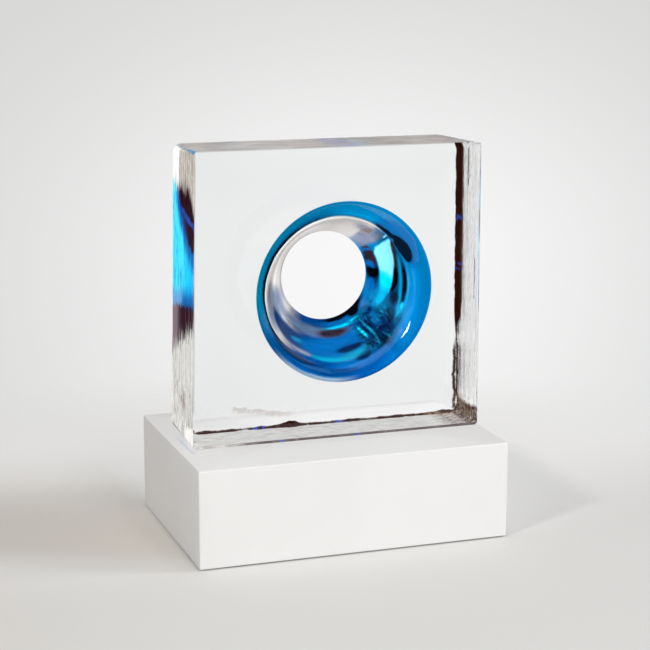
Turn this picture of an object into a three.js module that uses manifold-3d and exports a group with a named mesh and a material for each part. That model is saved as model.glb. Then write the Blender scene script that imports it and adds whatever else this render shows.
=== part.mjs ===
// Glass trophy: a clear cast-glass block with a blue-lined funnel through it, bonded to a white plinth.
// The block's front is polished flat with thin arrises, and its foot is ground flat. Its other sides keep the
// soft skin of the mould, whose draft rounds the corners and bevels the sides towards the back.
// Millimetres, +Z up, X across and -Y to the front. The origin is on the table, under the plinth's middle.
import * as THREE from "three";
import { mergeVertices } from "three/addons/utils/BufferGeometryUtils.js";
import Module from "manifold-3d";

const wasm = await Module();
wasm.setup();

// Plinth: a box of boards, sprayed white as one piece
const PLINTH_WIDTH = 214;
const PLINTH_DEPTH = 148;
const PLINTH_HEIGHT = 65; // the boards alone, without the felt
const BOARD_THICKNESS = 12; // top and side boards
const CORNER_RADIUS = 1.0; // upright edges, sanded before spraying
const ARRIS_RADIUS = 0.8; // edge round the top
const GLUE_LINE = 0.1; // between boards, blocks and bearers
const BASE_BOARD_THICKNESS = 9;
const BASE_BOARD_CLEARANCE = 0.5; // all round, so that the board drops in
const CORNER_BLOCK_SIDE = 24;
const CORNER_BLOCK_CHAMFER = 9; // the free corner, planed off
const BEARER_WIDTH = 26;
const BEARER_SPACING = 108; // between the middles of the bearers
const BEARER_END_GAP = 2; // to the line of the corner blocks
const BEARER_CHAMFER = 3;
const FELT_THICKNESS = 1;
const FELT_INSET = 3; // from the plinth's faces
const FELT_CORNER_RADIUS = 4;

// Countersunk screws that hold the base board to the corner blocks
const SCREW_LENGTH = 30;
const HEAD_RADIUS = 3.9;
const HEAD_RIM = 0.5; // upright edge of the head
const HEAD_HEIGHT = 2.6;
const SHANK_RADIUS = 1.9;
const POINT_LENGTH = 4.5;
const POINT_RADIUS = 0.4;
const SCREW_CLEARANCE = 0.3; // all round, in the board and in the block
const SCREW_SINK = 0.4; // head below the board's face
const SCREW_INSET = 11; // from each side board's inner face
const DRIVE_WIDTH = 1.1; // cross slot
const DRIVE_LENGTH = 4.4;
const DRIVE_DEPTH = 1.4;

// Clear bonding pads between the plinth and the glass
const PAD_RADIUS = 8;
const PAD_THICKNESS = 0.6;
const PAD_INSET = 16; // from the end of the glass to a pad's middle
const PAD_SPREAD = 28; // between the front and the back pads' middles

// Glass block
const GLASS_WIDTH = 198.8; // at the top
const GLASS_DEPTH = 58;
const GLASS_HEIGHT = 196;
const LEFT_SPREAD = 3.2; // how far the left side stands out at the foot
const RIGHT_SPREAD = 0.9;
const UPRIGHT_ENDS = 10; // height at the top and at the foot over which the sides don't lean
const GLASS_OFFSET_X = 4.9; // from the plinth's middle
const GLASS_OFFSET_Y = 2;
const FRONT_CORNERS = [3.2, 1.6, 2.4, 2.4]; // their radii at the front, anticlockwise from the top right
const BACK_CORNERS = [10, 7, 7, 8]; // the same at the back
const FRONT_ARRIS = 0.6;
const BACK_EDGE = 1.0; // radius of the edge round the back
const BEVEL_DEPTH = 9.2; // bevel in front of that edge
const BEVEL_INSET = 3.0; // on the right, where the mould was parted
const BEVEL_REST = 0.7; // on the other sides
const BEVEL_WANDER = 0.3; // share by which the inset wanders
const BEVEL_WANDERS = 11; // times round the block
const BEVEL_SWELL = 1.25; // power that hollows the bevel's slope
const BEVEL_FADE = 60; // height over which the bevel grows from its least
const BEVEL_LEAST = 0.3; // share of the inset that is left just above the foot
const SKIN_WAVE = 0.4; // depth of the flutes in the mould skin
const SKIN_FLUTES = 2.5; // from the front to the back
const FLUTE_DRIFT = 1.7; // turns by which the flutes wander round the block
const FOOT_FADE = 14; // height over which the foot's flat sides take on the skin

// Funnel, from the front: a flared lip down to a crease, then a steeper cone down to the neck at the back
const MOUTH_RADIUS = 60;
const CREASE_RADIUS = 50;
const NECK_RADIUS = 31;
const CREASE_DEPTH = 14;
const MOUTH_OFFSET_X = 2.6; // of the mouth's middle from the middle of the glass
const MOUTH_OFFSET_Z = 1.1;
const CREASE_DROP = 2.2; // of the crease's middle below the mouth's
const NECK_LEAN_X = 5; // of the neck's middle from the mouth's
const NECK_LEAN_Z = 1.2;
const LIP_BULGE = 1.2; // how far the lip swells from a straight cone
const CONE_HOLLOW = 1.0; // how far the cone sinks from a straight one
const OUT_OF_ROUND = 0.5; // the mouth was opened by hand
const OVAL_TURN = 0.35; // of its long axis, in radians
const TOOL_RIPPLE = 0.35; // marks of the forming tool round the cone
const TOOL_STROKES = 7;
const STROKE_TWIST = 5; // radians by which the strokes wind towards the neck
const LINER_WALL = 1.3; // blue glass, measured across the funnel's axis
const LINER_CLEARANCE = 0.3;

// Facets
const FUNNEL_SEGMENTS = 60;
const LIP_RINGS = 4;
const CONE_RINGS = 6;
const SIDE_POINTS = 14; // along each side of the glass
const CORNER_POINTS = 4; // round each corner of the glass
const SKIN_RINGS = 8; // in front of the bevel
const BEVEL_RINGS = 3;
const EDGE_RINGS = 2;
const ARC_STEPS = 4;
const SCREW_SEGMENTS = 16;
const PAD_SEGMENTS = 32;
const CUT_MARGIN = 5; // by which a cutting body runs past what it cuts
const WELD = 1e-4; // points nearer than this are one point

const PLINTH_TOP = FELT_THICKNESS + PLINTH_HEIGHT;
const SIDE_HEIGHT = PLINTH_HEIGHT - BOARD_THICKNESS - GLUE_LINE;
const INNER_WIDTH = PLINTH_WIDTH - 2 * BOARD_THICKNESS;
const INNER_DEPTH = PLINTH_DEPTH - 2 * BOARD_THICKNESS;
const BASE_BOARD_TOP = FELT_THICKNESS + BASE_BOARD_THICKNESS;
const INNER_HEIGHT = FELT_THICKNESS + SIDE_HEIGHT - BASE_BOARD_TOP;
const GLASS_BOTTOM = PLINTH_TOP + PAD_THICKNESS;
const GLASS_FRONT = GLASS_OFFSET_Y - GLASS_DEPTH / 2;
const GLASS_MIDDLE_Z = GLASS_BOTTOM + GLASS_HEIGHT / 2;
const SCREW_X = INNER_WIDTH / 2 - SCREW_INSET;
const SCREW_Y = INNER_DEPTH / 2 - SCREW_INSET;
const HEAD_FACE = FELT_THICKNESS + SCREW_SINK;
const SIDES = [-1, 1];
const CORNER_SIGNS = [[1, 1], [-1, 1], [-1, -1], [1, -1]];

const { clamp, lerp, smoothstep } = THREE.MathUtils;

const clearGlass = { color: 0xeef4f4, roughness: 0.02, transparent: true, opacity: 0.35 };
const blueGlass = { color: 0x0077c4, roughness: 0.03, transparent: true, opacity: 0.75 };
const whiteLacquer = { color: 0xeeeeec, roughness: 0.4 };
const rawTimber = { color: 0xc9a877, roughness: 0.8 };
const plainBoard = { color: 0xb9976b, roughness: 0.85 };
const clearSilicone = { color: 0xe6eaea, roughness: 0.3, transparent: true, opacity: 0.5 };
const zincSteel = { color: 0xb9bbb6, roughness: 0.35, metalness: 1 };
const greyFelt = { color: 0x8f8d89, roughness: 1 };

// A closed geometry becomes a solid that can be cut, and a cut solid becomes a geometry again.
function solid(geometry) {
  const bare = new THREE.BufferGeometry();
  bare.setAttribute("position", geometry.getAttribute("position"));
  bare.setIndex(geometry.index);
  const merged = mergeVertices(bare, WELD);
  const vertProperties = merged.attributes.position.array;
  const triVerts = new Uint32Array(merged.index.array);
  return new wasm.Manifold(new wasm.Mesh({ numProp: 3, vertProperties, triVerts }));
}

function geometryOf(body) {
  const mesh = body.getMesh();
  const geometry = new THREE.BufferGeometry();
  geometry.setAttribute("position", new THREE.BufferAttribute(new Float32Array(mesh.vertProperties), 3));
  geometry.setIndex(new THREE.BufferAttribute(new Uint32Array(mesh.triVerts), 1));
  geometry.computeVertexNormals();
  return geometry;
}

function cut(geometry, ...cutters) {
  return geometryOf(cutters.reduce((body, cutter) => body.subtract(solid(cutter)), solid(geometry)));
}

// A skin through rings of points that all run the same way round. It is closed by a fan over its first and
// its last ring, or, for a hoop, by joining the last ring to the first.
function loft(rings, isHoop = false) {
  const count = rings[0].length;
  const points = rings.flat();
  const faces = [];
  const bands = isHoop ? rings.length : rings.length - 1;
  for (let band = 0; band < bands; band++) {
    const a = band * count;
    const b = ((band + 1) % rings.length) * count;
    for (let i = 0; i < count; i++) {
      const j = (i + 1) % count;
      faces.push(a + i, a + j, b + j, a + i, b + j, b + i);
    }
  }
  if (!isHoop) {
    const middle = (ring) => ring.reduce((sum, p) => sum.add(p), new THREE.Vector3()).divideScalar(count);
    points.push(middle(rings[0]), middle(rings[rings.length - 1]));
    const first = rings.length * count;
    const last = (rings.length - 1) * count;
    for (let i = 0; i < count; i++) {
      const j = (i + 1) % count;
      faces.push(first, j, i, first + 1, last + i, last + j);
    }
  }
  const geometry = new THREE.BufferGeometry().setFromPoints(points).setIndex(faces);
  geometry.computeVertexNormals();
  return geometry;
}

// Plan of a rectangle with round corners, about its own middle.
function roundedPlan(width, depth, radius) {
  const x = width / 2 - radius;
  const y = depth / 2 - radius;
  const plan = new THREE.Shape();
  plan.absarc(x, y, radius, 0, Math.PI / 2);
  plan.absarc(-x, y, radius, Math.PI / 2, Math.PI);
  plan.absarc(-x, -y, radius, Math.PI, Math.PI * 1.5);
  plan.absarc(x, -y, radius, Math.PI * 1.5, Math.PI * 2);
  return plan;
}

function extrude(plan, height) {
  return new THREE.ExtrudeGeometry(plan, { depth: height, bevelEnabled: false, curveSegments: ARC_STEPS });
}

// Side board, along X with its outer face at y = 0. Its ends are mitred and its outer corners sanded round.
function mitredBoard(length) {
  const end = length / 2 - GLUE_LINE;
  const plan = new THREE.Shape();
  plan.moveTo(BOARD_THICKNESS - end, BOARD_THICKNESS);
  plan.absarc(CORNER_RADIUS - end, CORNER_RADIUS, CORNER_RADIUS, Math.PI * 1.25, Math.PI * 1.5);
  plan.absarc(end - CORNER_RADIUS, CORNER_RADIUS, CORNER_RADIUS, Math.PI * 1.5, Math.PI * 1.75);
  plan.lineTo(end - BOARD_THICKNESS, BOARD_THICKNESS);
  return extrude(plan, SIDE_HEIGHT);
}

// Top board: a plate whose upper edge is rounded over.
function topBoard() {
  const ring = (inset, z) => {
    const plan = roundedPlan(PLINTH_WIDTH - 2 * inset, PLINTH_DEPTH - 2 * inset, CORNER_RADIUS);
    return plan.extractPoints(ARC_STEPS).shape.map((p) => new THREE.Vector3(p.x, p.y, z));
  };
  const rings = [ring(0, 0)];
  for (let step = 0; step <= ARC_STEPS; step++) {
    const turn = (Math.PI / 2) * (step / ARC_STEPS);
    const drop = ARRIS_RADIUS * (1 - Math.sin(turn));
    rings.push(ring(ARRIS_RADIUS * (1 - Math.cos(turn)), BOARD_THICKNESS - drop));
  }
  return loft(rings);
}

// A revolve about Z from [radius, height] pairs that start and end on the axis.
function turned(profile, segments) {
  const points = profile.map(([radius, height]) => new THREE.Vector2(radius, height));
  return new THREE.LatheGeometry(points, segments).rotateX(Math.PI / 2);
}

// A screw with its head down at z = 0, or the hole that it sits in, which is wider all round by a clearance.
function screwBody(clearance) {
  const tail = clearance > 0 ? CUT_MARGIN : 0;
  const shank = SHANK_RADIUS + clearance;
  const tip = SCREW_LENGTH + clearance;
  const profile = [
    [0, -tail],
    [HEAD_RADIUS + clearance, -tail],
    [HEAD_RADIUS + clearance, HEAD_RIM],
    [shank, HEAD_HEIGHT],
    [shank, SCREW_LENGTH - POINT_LENGTH],
    [POINT_RADIUS + clearance, tip],
    [0, tip],
  ];
  return turned(profile, SCREW_SEGMENTS);
}

function screw() {
  const slot = new THREE.BoxGeometry(DRIVE_LENGTH, DRIVE_WIDTH, 2 * DRIVE_DEPTH);
  return cut(screwBody(0), slot, slot.clone().rotateZ(Math.PI / 2));
}

function screwHole(x, y, z) {
  return screwBody(SCREW_CLEARANCE).translate(x, y, z);
}

function baseBoard() {
  const width = INNER_WIDTH - 2 * BASE_BOARD_CLEARANCE;
  const depth = INNER_DEPTH - 2 * BASE_BOARD_CLEARANCE;
  const plate = extrude(roundedPlan(width, depth, CORNER_RADIUS), BASE_BOARD_THICKNESS - GLUE_LINE);
  const holes = SIDES.flatMap((x) => SIDES.map((y) => screwHole(x * SCREW_X, y * SCREW_Y, SCREW_SINK)));
  return cut(plate, ...holes);
}

// Corner block, with its glued corner at the origin and its planed corner towards +X and +Y.
function cornerBlock() {
  const free = CORNER_BLOCK_SIDE - CORNER_BLOCK_CHAMFER;
  const plan = new THREE.Shape();
  plan.moveTo(0, 0);
  plan.lineTo(CORNER_BLOCK_SIDE, 0);
  plan.lineTo(CORNER_BLOCK_SIDE, free);
  plan.lineTo(free, CORNER_BLOCK_SIDE);
  plan.lineTo(0, CORNER_BLOCK_SIDE);
  const pilot = screwHole(SCREW_INSET - GLUE_LINE, SCREW_INSET - GLUE_LINE, HEAD_FACE - BASE_BOARD_TOP);
  return cut(extrude(plan, INNER_HEIGHT - GLUE_LINE), pilot);
}

// Bearer: a batten between the two rows of corner blocks, its lower edges chamfered.
function bearer() {
  const half = BEARER_WIDTH / 2;
  const height = INNER_HEIGHT - GLUE_LINE;
  const length = INNER_DEPTH - 2 * (GLUE_LINE + CORNER_BLOCK_SIDE + BEARER_END_GAP);
  const section = new THREE.Shape();
  section.moveTo(BEARER_CHAMFER - half, 0);
  section.lineTo(half - BEARER_CHAMFER, 0);
  section.lineTo(half, BEARER_CHAMFER);
  section.lineTo(half, height);
  section.lineTo(-half, height);
  section.lineTo(-half, BEARER_CHAMFER);
  return extrude(section, length).rotateX(Math.PI / 2).translate(0, length / 2, 0);
}

// Funnel section at a depth behind the front face, seen along +Y. Growth is measured across the axis.
function funnelRing(y, growth) {
  const depth = Math.min(Math.max(y, 0), GLASS_DEPTH);
  const lip = Math.min(depth / CREASE_DEPTH, 1);
  const cone = Math.max(depth - CREASE_DEPTH, 0) / (GLASS_DEPTH - CREASE_DEPTH);
  const swell = CONE_HOLLOW * Math.sin(Math.PI * cone) - LIP_BULGE * Math.sin(Math.PI * lip);
  const radius = lerp(lerp(MOUTH_RADIUS, CREASE_RADIUS, lip), NECK_RADIUS, cone) + swell + growth;
  const middleX = GLASS_OFFSET_X + MOUTH_OFFSET_X + NECK_LEAN_X * cone;
  const middleZ = GLASS_MIDDLE_Z + MOUTH_OFFSET_Z + lerp(-CREASE_DROP * lip, NECK_LEAN_Z, cone);
  const ring = [];
  for (let i = 0; i < FUNNEL_SEGMENTS; i++) {
    const turn = (2 * Math.PI * i) / FUNNEL_SEGMENTS;
    const oval = OUT_OF_ROUND * (1 - cone) * Math.cos(2 * (turn - OVAL_TURN));
    const stroke = Math.sin(TOOL_STROKES * turn + STROKE_TWIST * cone);
    const ripple = TOOL_RIPPLE * Math.sin(Math.PI * cone) * stroke;
    const reach = radius + oval + ripple;
    const x = middleX + reach * Math.cos(turn);
    ring.push(new THREE.Vector3(x, y + GLASS_FRONT, middleZ + reach * Math.sin(turn)));
  }
  return ring;
}

function funnelDepths() {
  const lips = Array.from({ length: LIP_RINGS }, (_, i) => (CREASE_DEPTH * i) / LIP_RINGS);
  const coneDepth = GLASS_DEPTH - CREASE_DEPTH;
  const cones = Array.from({ length: CONE_RINGS + 1 }, (_, i) => CREASE_DEPTH + (coneDepth * i) / CONE_RINGS);
  return [...lips, ...cones];
}

function blueLiner() {
  const depths = funnelDepths();
  const seen = depths.map((y) => funnelRing(y, 0));
  const hidden = depths.map((y) => funnelRing(y, LINER_WALL)).reverse();
  return loft([...seen, ...hidden], true);
}

function funnelCutter() {
  const depths = [-CUT_MARGIN, ...funnelDepths(), GLASS_DEPTH + CUT_MARGIN];
  return loft(depths.map((y) => funnelRing(y, LINER_WALL + LINER_CLEARANCE)).reverse());
}

// The glass sank a little in the mould, so its sides stand out towards the foot.
function leaning(x, z) {
  const fall = clamp((GLASS_HEIGHT / 2 - UPRIGHT_ENDS - z) / (GLASS_HEIGHT - 2 * UPRIGHT_ENDS), 0, 1);
  return x + ((x < 0 ? LEFT_SPREAD : RIGHT_SPREAD) * fall * x) / (GLASS_WIDTH / 2);
}

// Outline of the glass at a share of its depth, seen from the front: points with their outward directions.
function glassOutline(share) {
  const radii = FRONT_CORNERS.map((radius, i) => lerp(radius, BACK_CORNERS[i], share));
  const hubs = CORNER_SIGNS.map(([x, z], i) => {
    return [x * (GLASS_WIDTH / 2 - radii[i]), z * (GLASS_HEIGHT / 2 - radii[i])];
  });
  const onArc = (i, turn) => {
    const outX = Math.cos(turn);
    const outZ = Math.sin(turn);
    return { x: hubs[i][0] + radii[i] * outX, z: hubs[i][1] + radii[i] * outZ, outX, outZ };
  };
  const outline = [];
  for (let quarter = 0; quarter < hubs.length; quarter++) {
    for (let i = 0; i <= CORNER_POINTS; i++) {
      outline.push(onArc(quarter, (Math.PI / 2) * (quarter + i / CORNER_POINTS)));
    }
    const from = outline[outline.length - 1];
    const to = onArc((quarter + 1) % hubs.length, (Math.PI / 2) * (quarter + 1));
    for (let i = 1; i < SIDE_POINTS; i++) {
      const along = i / SIDE_POINTS;
      outline.push({ ...from, x: lerp(from.x, to.x, along), z: lerp(from.z, to.z, along) });
    }
  }
  return outline.map((spot) => ({ ...spot, x: leaning(spot.x, spot.z) }));
}

// How far the mould skin and the bevel draw in an outline point at a depth y and a share of the way round.
function skinInset(spot, round, y) {
  const aboveFoot = spot.z + GLASS_HEIGHT / 2;
  const softness = smoothstep(aboveFoot, FRONT_ARRIS, FOOT_FADE);
  const share = y / GLASS_DEPTH;
  const drift = FLUTE_DRIFT * Math.sin(2 * Math.PI * round);
  const wave = Math.sin(Math.PI * (SKIN_FLUTES * share + drift)) ** 2;
  const flute = SKIN_WAVE * wave * Math.sin(Math.PI * share);
  const slope = Math.max(1 - (GLASS_DEPTH - y) / BEVEL_DEPTH, 0) ** BEVEL_SWELL;
  const growth = lerp(BEVEL_LEAST, 1, smoothstep(aboveFoot, FOOT_FADE, FOOT_FADE + BEVEL_FADE));
  const wander = 1 + BEVEL_WANDER * Math.sin(2 * Math.PI * BEVEL_WANDERS * round);
  const widest = lerp(BEVEL_REST, BEVEL_INSET, smoothstep(spot.outX, 0, 1));
  return softness * (flute + widest * growth * wander * slope);
}

function glassBlock() {
  const ring = (y, inset, skinY = y) => glassOutline(y / GLASS_DEPTH).map((spot, i, outline) => {
    const reach = -inset - skinInset(spot, i / outline.length, skinY);
    const x = GLASS_OFFSET_X + spot.x + reach * spot.outX;
    return new THREE.Vector3(x, GLASS_FRONT + y, GLASS_MIDDLE_Z + spot.z + reach * spot.outZ);
  });
  const bevelStart = GLASS_DEPTH - BEVEL_DEPTH;
  const brink = GLASS_DEPTH - BACK_EDGE;
  const rings = [ring(0, FRONT_ARRIS)];
  for (let step = 0; step < SKIN_RINGS; step++) {
    rings.push(ring(lerp(FRONT_ARRIS, bevelStart, step / SKIN_RINGS), 0));
  }
  for (let step = 0; step <= BEVEL_RINGS; step++) {
    rings.push(ring(lerp(bevelStart, brink, step / BEVEL_RINGS), 0));
  }
  for (let step = 1; step <= EDGE_RINGS; step++) {
    const turn = (Math.PI / 2) * (step / EDGE_RINGS);
    rings.push(ring(brink + BACK_EDGE * Math.sin(turn), BACK_EDGE * (1 - Math.cos(turn)), brink));
  }
  return cut(loft(rings.reverse()), funnelCutter());
}

const trophy = new THREE.Group();
trophy.name = "glass_trophy";

function add(name, geometry, look, x = 0, y = 0, z = 0, turn = 0) {
  const mesh = new THREE.Mesh(geometry, new THREE.MeshStandardMaterial(look));
  mesh.name = name;
  mesh.position.set(x, y, z);
  mesh.rotation.z = turn;
  trophy.add(mesh);
}

// Glass and its seat
add("glass_block", glassBlock(), clearGlass);
add("blue_funnel_liner", blueLiner(), blueGlass);
const pad = turned([[0, 0], [PAD_RADIUS, 0], [PAD_RADIUS, PAD_THICKNESS], [0, PAD_THICKNESS]], PAD_SEGMENTS);
for (const [side, sideName] of [[-1, "left"], [1, "right"]]) {
  for (const [end, endName] of [[-1, "front"], [1, "back"]]) {
    const padX = GLASS_OFFSET_X + side * (GLASS_WIDTH / 2 - PAD_INSET);
    const padY = GLASS_OFFSET_Y + (end * PAD_SPREAD) / 2;
    add(`bonding_pad_${endName}_${sideName}`, pad.clone(), clearSilicone, padX, padY, PLINTH_TOP);
  }
}

// Plinth's outer boards
const longBoard = mitredBoard(PLINTH_WIDTH);
const shortBoard = mitredBoard(PLINTH_DEPTH);
add("plinth_top_board", topBoard(), whiteLacquer, 0, 0, PLINTH_TOP - BOARD_THICKNESS);
add("plinth_front_board", longBoard, whiteLacquer, 0, -PLINTH_DEPTH / 2, FELT_THICKNESS);
add("plinth_back_board", longBoard.clone(), whiteLacquer, 0, PLINTH_DEPTH / 2, FELT_THICKNESS, Math.PI);
add("plinth_right_board", shortBoard, whiteLacquer, PLINTH_WIDTH / 2, 0, FELT_THICKNESS, Math.PI / 2);
add("plinth_left_board", shortBoard.clone(), whiteLacquer, -PLINTH_WIDTH / 2, 0, FELT_THICKNESS, -Math.PI / 2);

// Inside the plinth
add("plinth_base_board", baseBoard(), plainBoard, 0, 0, FELT_THICKNESS);
const blockX = INNER_WIDTH / 2 - GLUE_LINE;
const blockY = INNER_DEPTH / 2 - GLUE_LINE;
const corners = [
  ["front_left", -1, -1, 0],
  ["front_right", 1, -1, Math.PI / 2],
  ["back_right", 1, 1, Math.PI],
  ["back_left", -1, 1, -Math.PI / 2],
];
for (const [corner, x, y, turn] of corners) {
  add(`corner_block_${corner}`, cornerBlock(), rawTimber, x * blockX, y * blockY, BASE_BOARD_TOP, turn);
  add(`base_screw_${corner}`, screw(), zincSteel, x * SCREW_X, y * SCREW_Y, HEAD_FACE);
}
for (const [side, sideName] of [[-1, "left"], [1, "right"]]) {
  add(`bearer_${sideName}`, bearer(), rawTimber, (side * BEARER_SPACING) / 2, 0, BASE_BOARD_TOP);
}

// Felt under the plinth
const feltWidth = PLINTH_WIDTH - 2 * FELT_INSET;
const feltDepth = PLINTH_DEPTH - 2 * FELT_INSET;
const feltPlan = roundedPlan(feltWidth, feltDepth, FELT_CORNER_RADIUS);
add("felt_base_pad", extrude(feltPlan, FELT_THICKNESS), greyFelt);

export default trophy;
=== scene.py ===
# %% [markdown]
# # A cast-glass trophy
#
# The object is a thick slab of clear cast glass that stands on a white box plinth. A funnel runs through
# the slab from front to back and is lined with transparent blue glass. Glass has almost no look of its own:
# what the eye reads is the light that it bends. So most of this lesson is about shape. The front and back
# faces are flat and polished, the other sides keep the soft, fluted skin of the mould, and each of them
# bends the light in its own way.
#
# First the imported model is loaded. It is the fixed frame that everything below is fitted to.

import math

import bpy
import numpy as np
from mathutils import Matrix, Vector


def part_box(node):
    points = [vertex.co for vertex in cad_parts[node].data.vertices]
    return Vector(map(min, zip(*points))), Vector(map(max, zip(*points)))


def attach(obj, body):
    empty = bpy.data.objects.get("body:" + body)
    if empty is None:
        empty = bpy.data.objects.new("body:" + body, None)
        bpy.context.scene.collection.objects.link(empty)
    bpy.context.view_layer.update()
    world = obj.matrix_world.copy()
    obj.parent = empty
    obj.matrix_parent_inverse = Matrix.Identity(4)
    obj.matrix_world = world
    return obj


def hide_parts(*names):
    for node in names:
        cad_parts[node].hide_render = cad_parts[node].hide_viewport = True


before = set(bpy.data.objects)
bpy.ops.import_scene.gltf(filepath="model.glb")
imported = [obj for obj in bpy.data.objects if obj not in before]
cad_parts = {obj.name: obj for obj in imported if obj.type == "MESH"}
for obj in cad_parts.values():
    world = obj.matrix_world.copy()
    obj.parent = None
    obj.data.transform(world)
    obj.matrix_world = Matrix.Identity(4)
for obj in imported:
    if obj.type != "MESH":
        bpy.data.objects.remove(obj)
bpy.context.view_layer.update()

# %% [markdown]
# ## The camera
#
# The photograph was taken from the left of the trophy and a little above it. The camera's place, its
# direction and the length of its lens come from the corners of the plinth and of the glass, whose real
# proportions are known. It stands some 1.2 metres from the trophy, so upright edges hardly lean.

# %% Camera
CAMERA_PLACE = Vector((-0.3916, -1.1299, 0.3935))
CAMERA_YAW = math.radians(19.24)
CAMERA_PITCH = math.radians(-12.03)
CAMERA_ROLL = math.radians(0.16)
LENS_MM, SENSOR_MM = 99.8, 36
SIGHT_END = 50


def heading(turn, rise):
    """The direction that a turn from straight back towards the right and a rise above level point in."""
    return math.sin(turn) * math.cos(rise), math.cos(turn) * math.cos(rise), math.sin(rise)


view_direction = Vector(heading(CAMERA_YAW, CAMERA_PITCH))
camera_data = bpy.data.cameras.new("camera")
camera_data.lens = LENS_MM
camera_data.sensor_width = SENSOR_MM
camera_data.clip_end = SIGHT_END
camera = bpy.data.objects.new("camera", camera_data)
camera.rotation_mode = "QUATERNION"
camera.rotation_quaternion = (
    view_direction.to_track_quat("-Z", "Y").to_matrix() @ Matrix.Rotation(CAMERA_ROLL, 3, "Z")
).to_quaternion()
camera.location = CAMERA_PLACE
bpy.context.scene.collection.objects.link(camera)
bpy.context.scene.camera = camera
print("camera looks along", [round(v, 3) for v in view_direction])

# %% [markdown]
# ## Helpers for meshes
#
# Every new piece here is a stack of rings: each ring is a closed loop of points, and each ring has as many
# points as the next one. Joining ring to ring gives the skin. A skin whose last ring is joined to its first
# is a hoop, such as a tube with a wall. Any other skin is closed at both ends by a point in the middle.

# %% Rings to a mesh
SHARP_DEGREES = 30.0


def skin_of_rings(name, rings, is_hoop=False):
    """A mesh object from rings, an array of (ring, point, xyz). Quads join each ring to the next."""
    rings = np.asarray(rings, float)
    ring_count, count = rings.shape[:2]
    points = rings.reshape(-1, 3)
    band_count = ring_count if is_hoop else ring_count - 1
    band, step = np.meshgrid(np.arange(band_count), np.arange(count), indexing="ij")
    ahead = (band + 1) % ring_count
    beside = (step + 1) % count
    quads = np.stack(
        [band * count + step, band * count + beside, ahead * count + beside, ahead * count + step], axis=-1
    ).reshape(-1, 4)
    faces = quads.tolist()
    if not is_hoop:
        first, last = len(points), len(points) + 1
        points = np.vstack([points, rings[0].mean(0), rings[-1].mean(0)])
        around = np.arange(count)
        after = (around + 1) % count
        start = (ring_count - 1) * count
        faces += np.stack([np.full(count, first), after, around], axis=-1).tolist()
        faces += np.stack([np.full(count, last), start + around, start + after], axis=-1).tolist()
    mesh = bpy.data.meshes.new(name)
    mesh.from_pydata(points.tolist(), [], faces)
    mesh.validate()
    mesh.shade_smooth()
    mesh.set_sharp_from_angle(angle=math.radians(SHARP_DEGREES))
    piece = bpy.data.objects.new(name, mesh)
    bpy.context.scene.collection.objects.link(piece)
    print(name, len(points), "points", len(faces), "faces")
    return piece


# %% Blending numbers
def lerp(a, b, share):
    """What lies a share of the way from a to b."""
    return a + (b - a) * share


def smoothstep(value, low, high):
    """The share of the way from low to high, made gentle: three times its square less twice its cube."""
    share = np.clip((value - low) / (high - low), 0, 1)
    return share * share * (3 - 2 * share)


def stretch(value, rise_from, rise_to, fall_from, fall_to):
    """1 on a stretch of the value and 0 outside it, with a gentle rise and a gentle fall."""
    return smoothstep(value, rise_from, rise_to) * (1 - smoothstep(value, fall_from, fall_to))


def bell(offset, width):
    """A bell curve: e to the power of minus the squared share of the offset in the width."""
    return np.exp(-((offset / width) ** 2))


# %% [markdown]
# ## Outlines with round corners
#
# Seen from the front, the block is a rectangle whose corners are round. The mould and the first touch of
# the grinder left each corner with a radius of its own, small at the polished front and large at the back.
# The plinth's plan is such a rectangle too, so both share one function. The hot glass also sank a little in
# its mould, so the block's sides stand out towards the foot, the left one most.

# %% Rounded rectangle
CORNER_SIGNS = np.array([[1, 1], [-1, 1], [-1, -1], [1, -1]])


def round_outline(middle, half, radii, side_points, corner_points):
    """A rectangle with round corners, anticlockwise from its top right corner. Each quarter is an arc about
    the corner's own middle, then a straight side. Returns the points and their outward directions."""
    points, ways = [], []
    for quarter in range(4):
        ahead = (quarter + 1) % 4
        hub = CORNER_SIGNS[quarter] * (half - radii[quarter])
        next_hub = CORNER_SIGNS[ahead] * (half - radii[ahead])
        turn = np.pi / 2 * (quarter + np.arange(corner_points) / corner_points)
        way = np.stack([np.cos(turn), np.sin(turn)], axis=-1)
        points.append(hub + radii[quarter] * way)
        ways.append(way)
        facing = np.array([np.cos(np.pi / 2 * (quarter + 1)), np.sin(np.pi / 2 * (quarter + 1))])
        along = (np.arange(side_points) / side_points)[:, None]
        points.append(lerp(hub + radii[quarter] * facing, next_hub + radii[ahead] * facing, along))
        ways.append(np.broadcast_to(facing, (side_points, 2)))
    return middle + np.vstack(points), np.vstack(ways)


# %% [markdown]
# ## The funnel's form
#
# The funnel starts as a flared lip at the front, turns at a crease about a quarter of the way in, and runs
# on as a steeper cone to its neck at the back. Its radius and its middle are both functions of the depth
# behind the front face. The same function serves the clear block and the blue lining, so that their walls
# run side by side.

# %% Sizes from the frame
# The box is as wide as the foot. The spread of each side comes off, which leaves the width at the top.
LEFT_SPREAD, RIGHT_SPREAD, UPRIGHT_ENDS = 0.0032, 0.0009, 0.010
glass_low, glass_high = (np.array(corner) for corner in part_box("glass_block"))
glass_low[0] += LEFT_SPREAD
glass_high[0] -= RIGHT_SPREAD
liner_low, liner_high = (np.array(corner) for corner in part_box("blue_funnel_liner"))
GLASS_DEPTH = glass_high[1] - glass_low[1]
glass_middle = (glass_low + glass_high) / 2
glass_half = (glass_high - glass_low)[[0, 2]] / 2
front_y, back_y = glass_low[1], glass_high[1]
print("glass", np.round(glass_high - glass_low, 4), "liner", np.round(liner_high - liner_low, 4))

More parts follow.
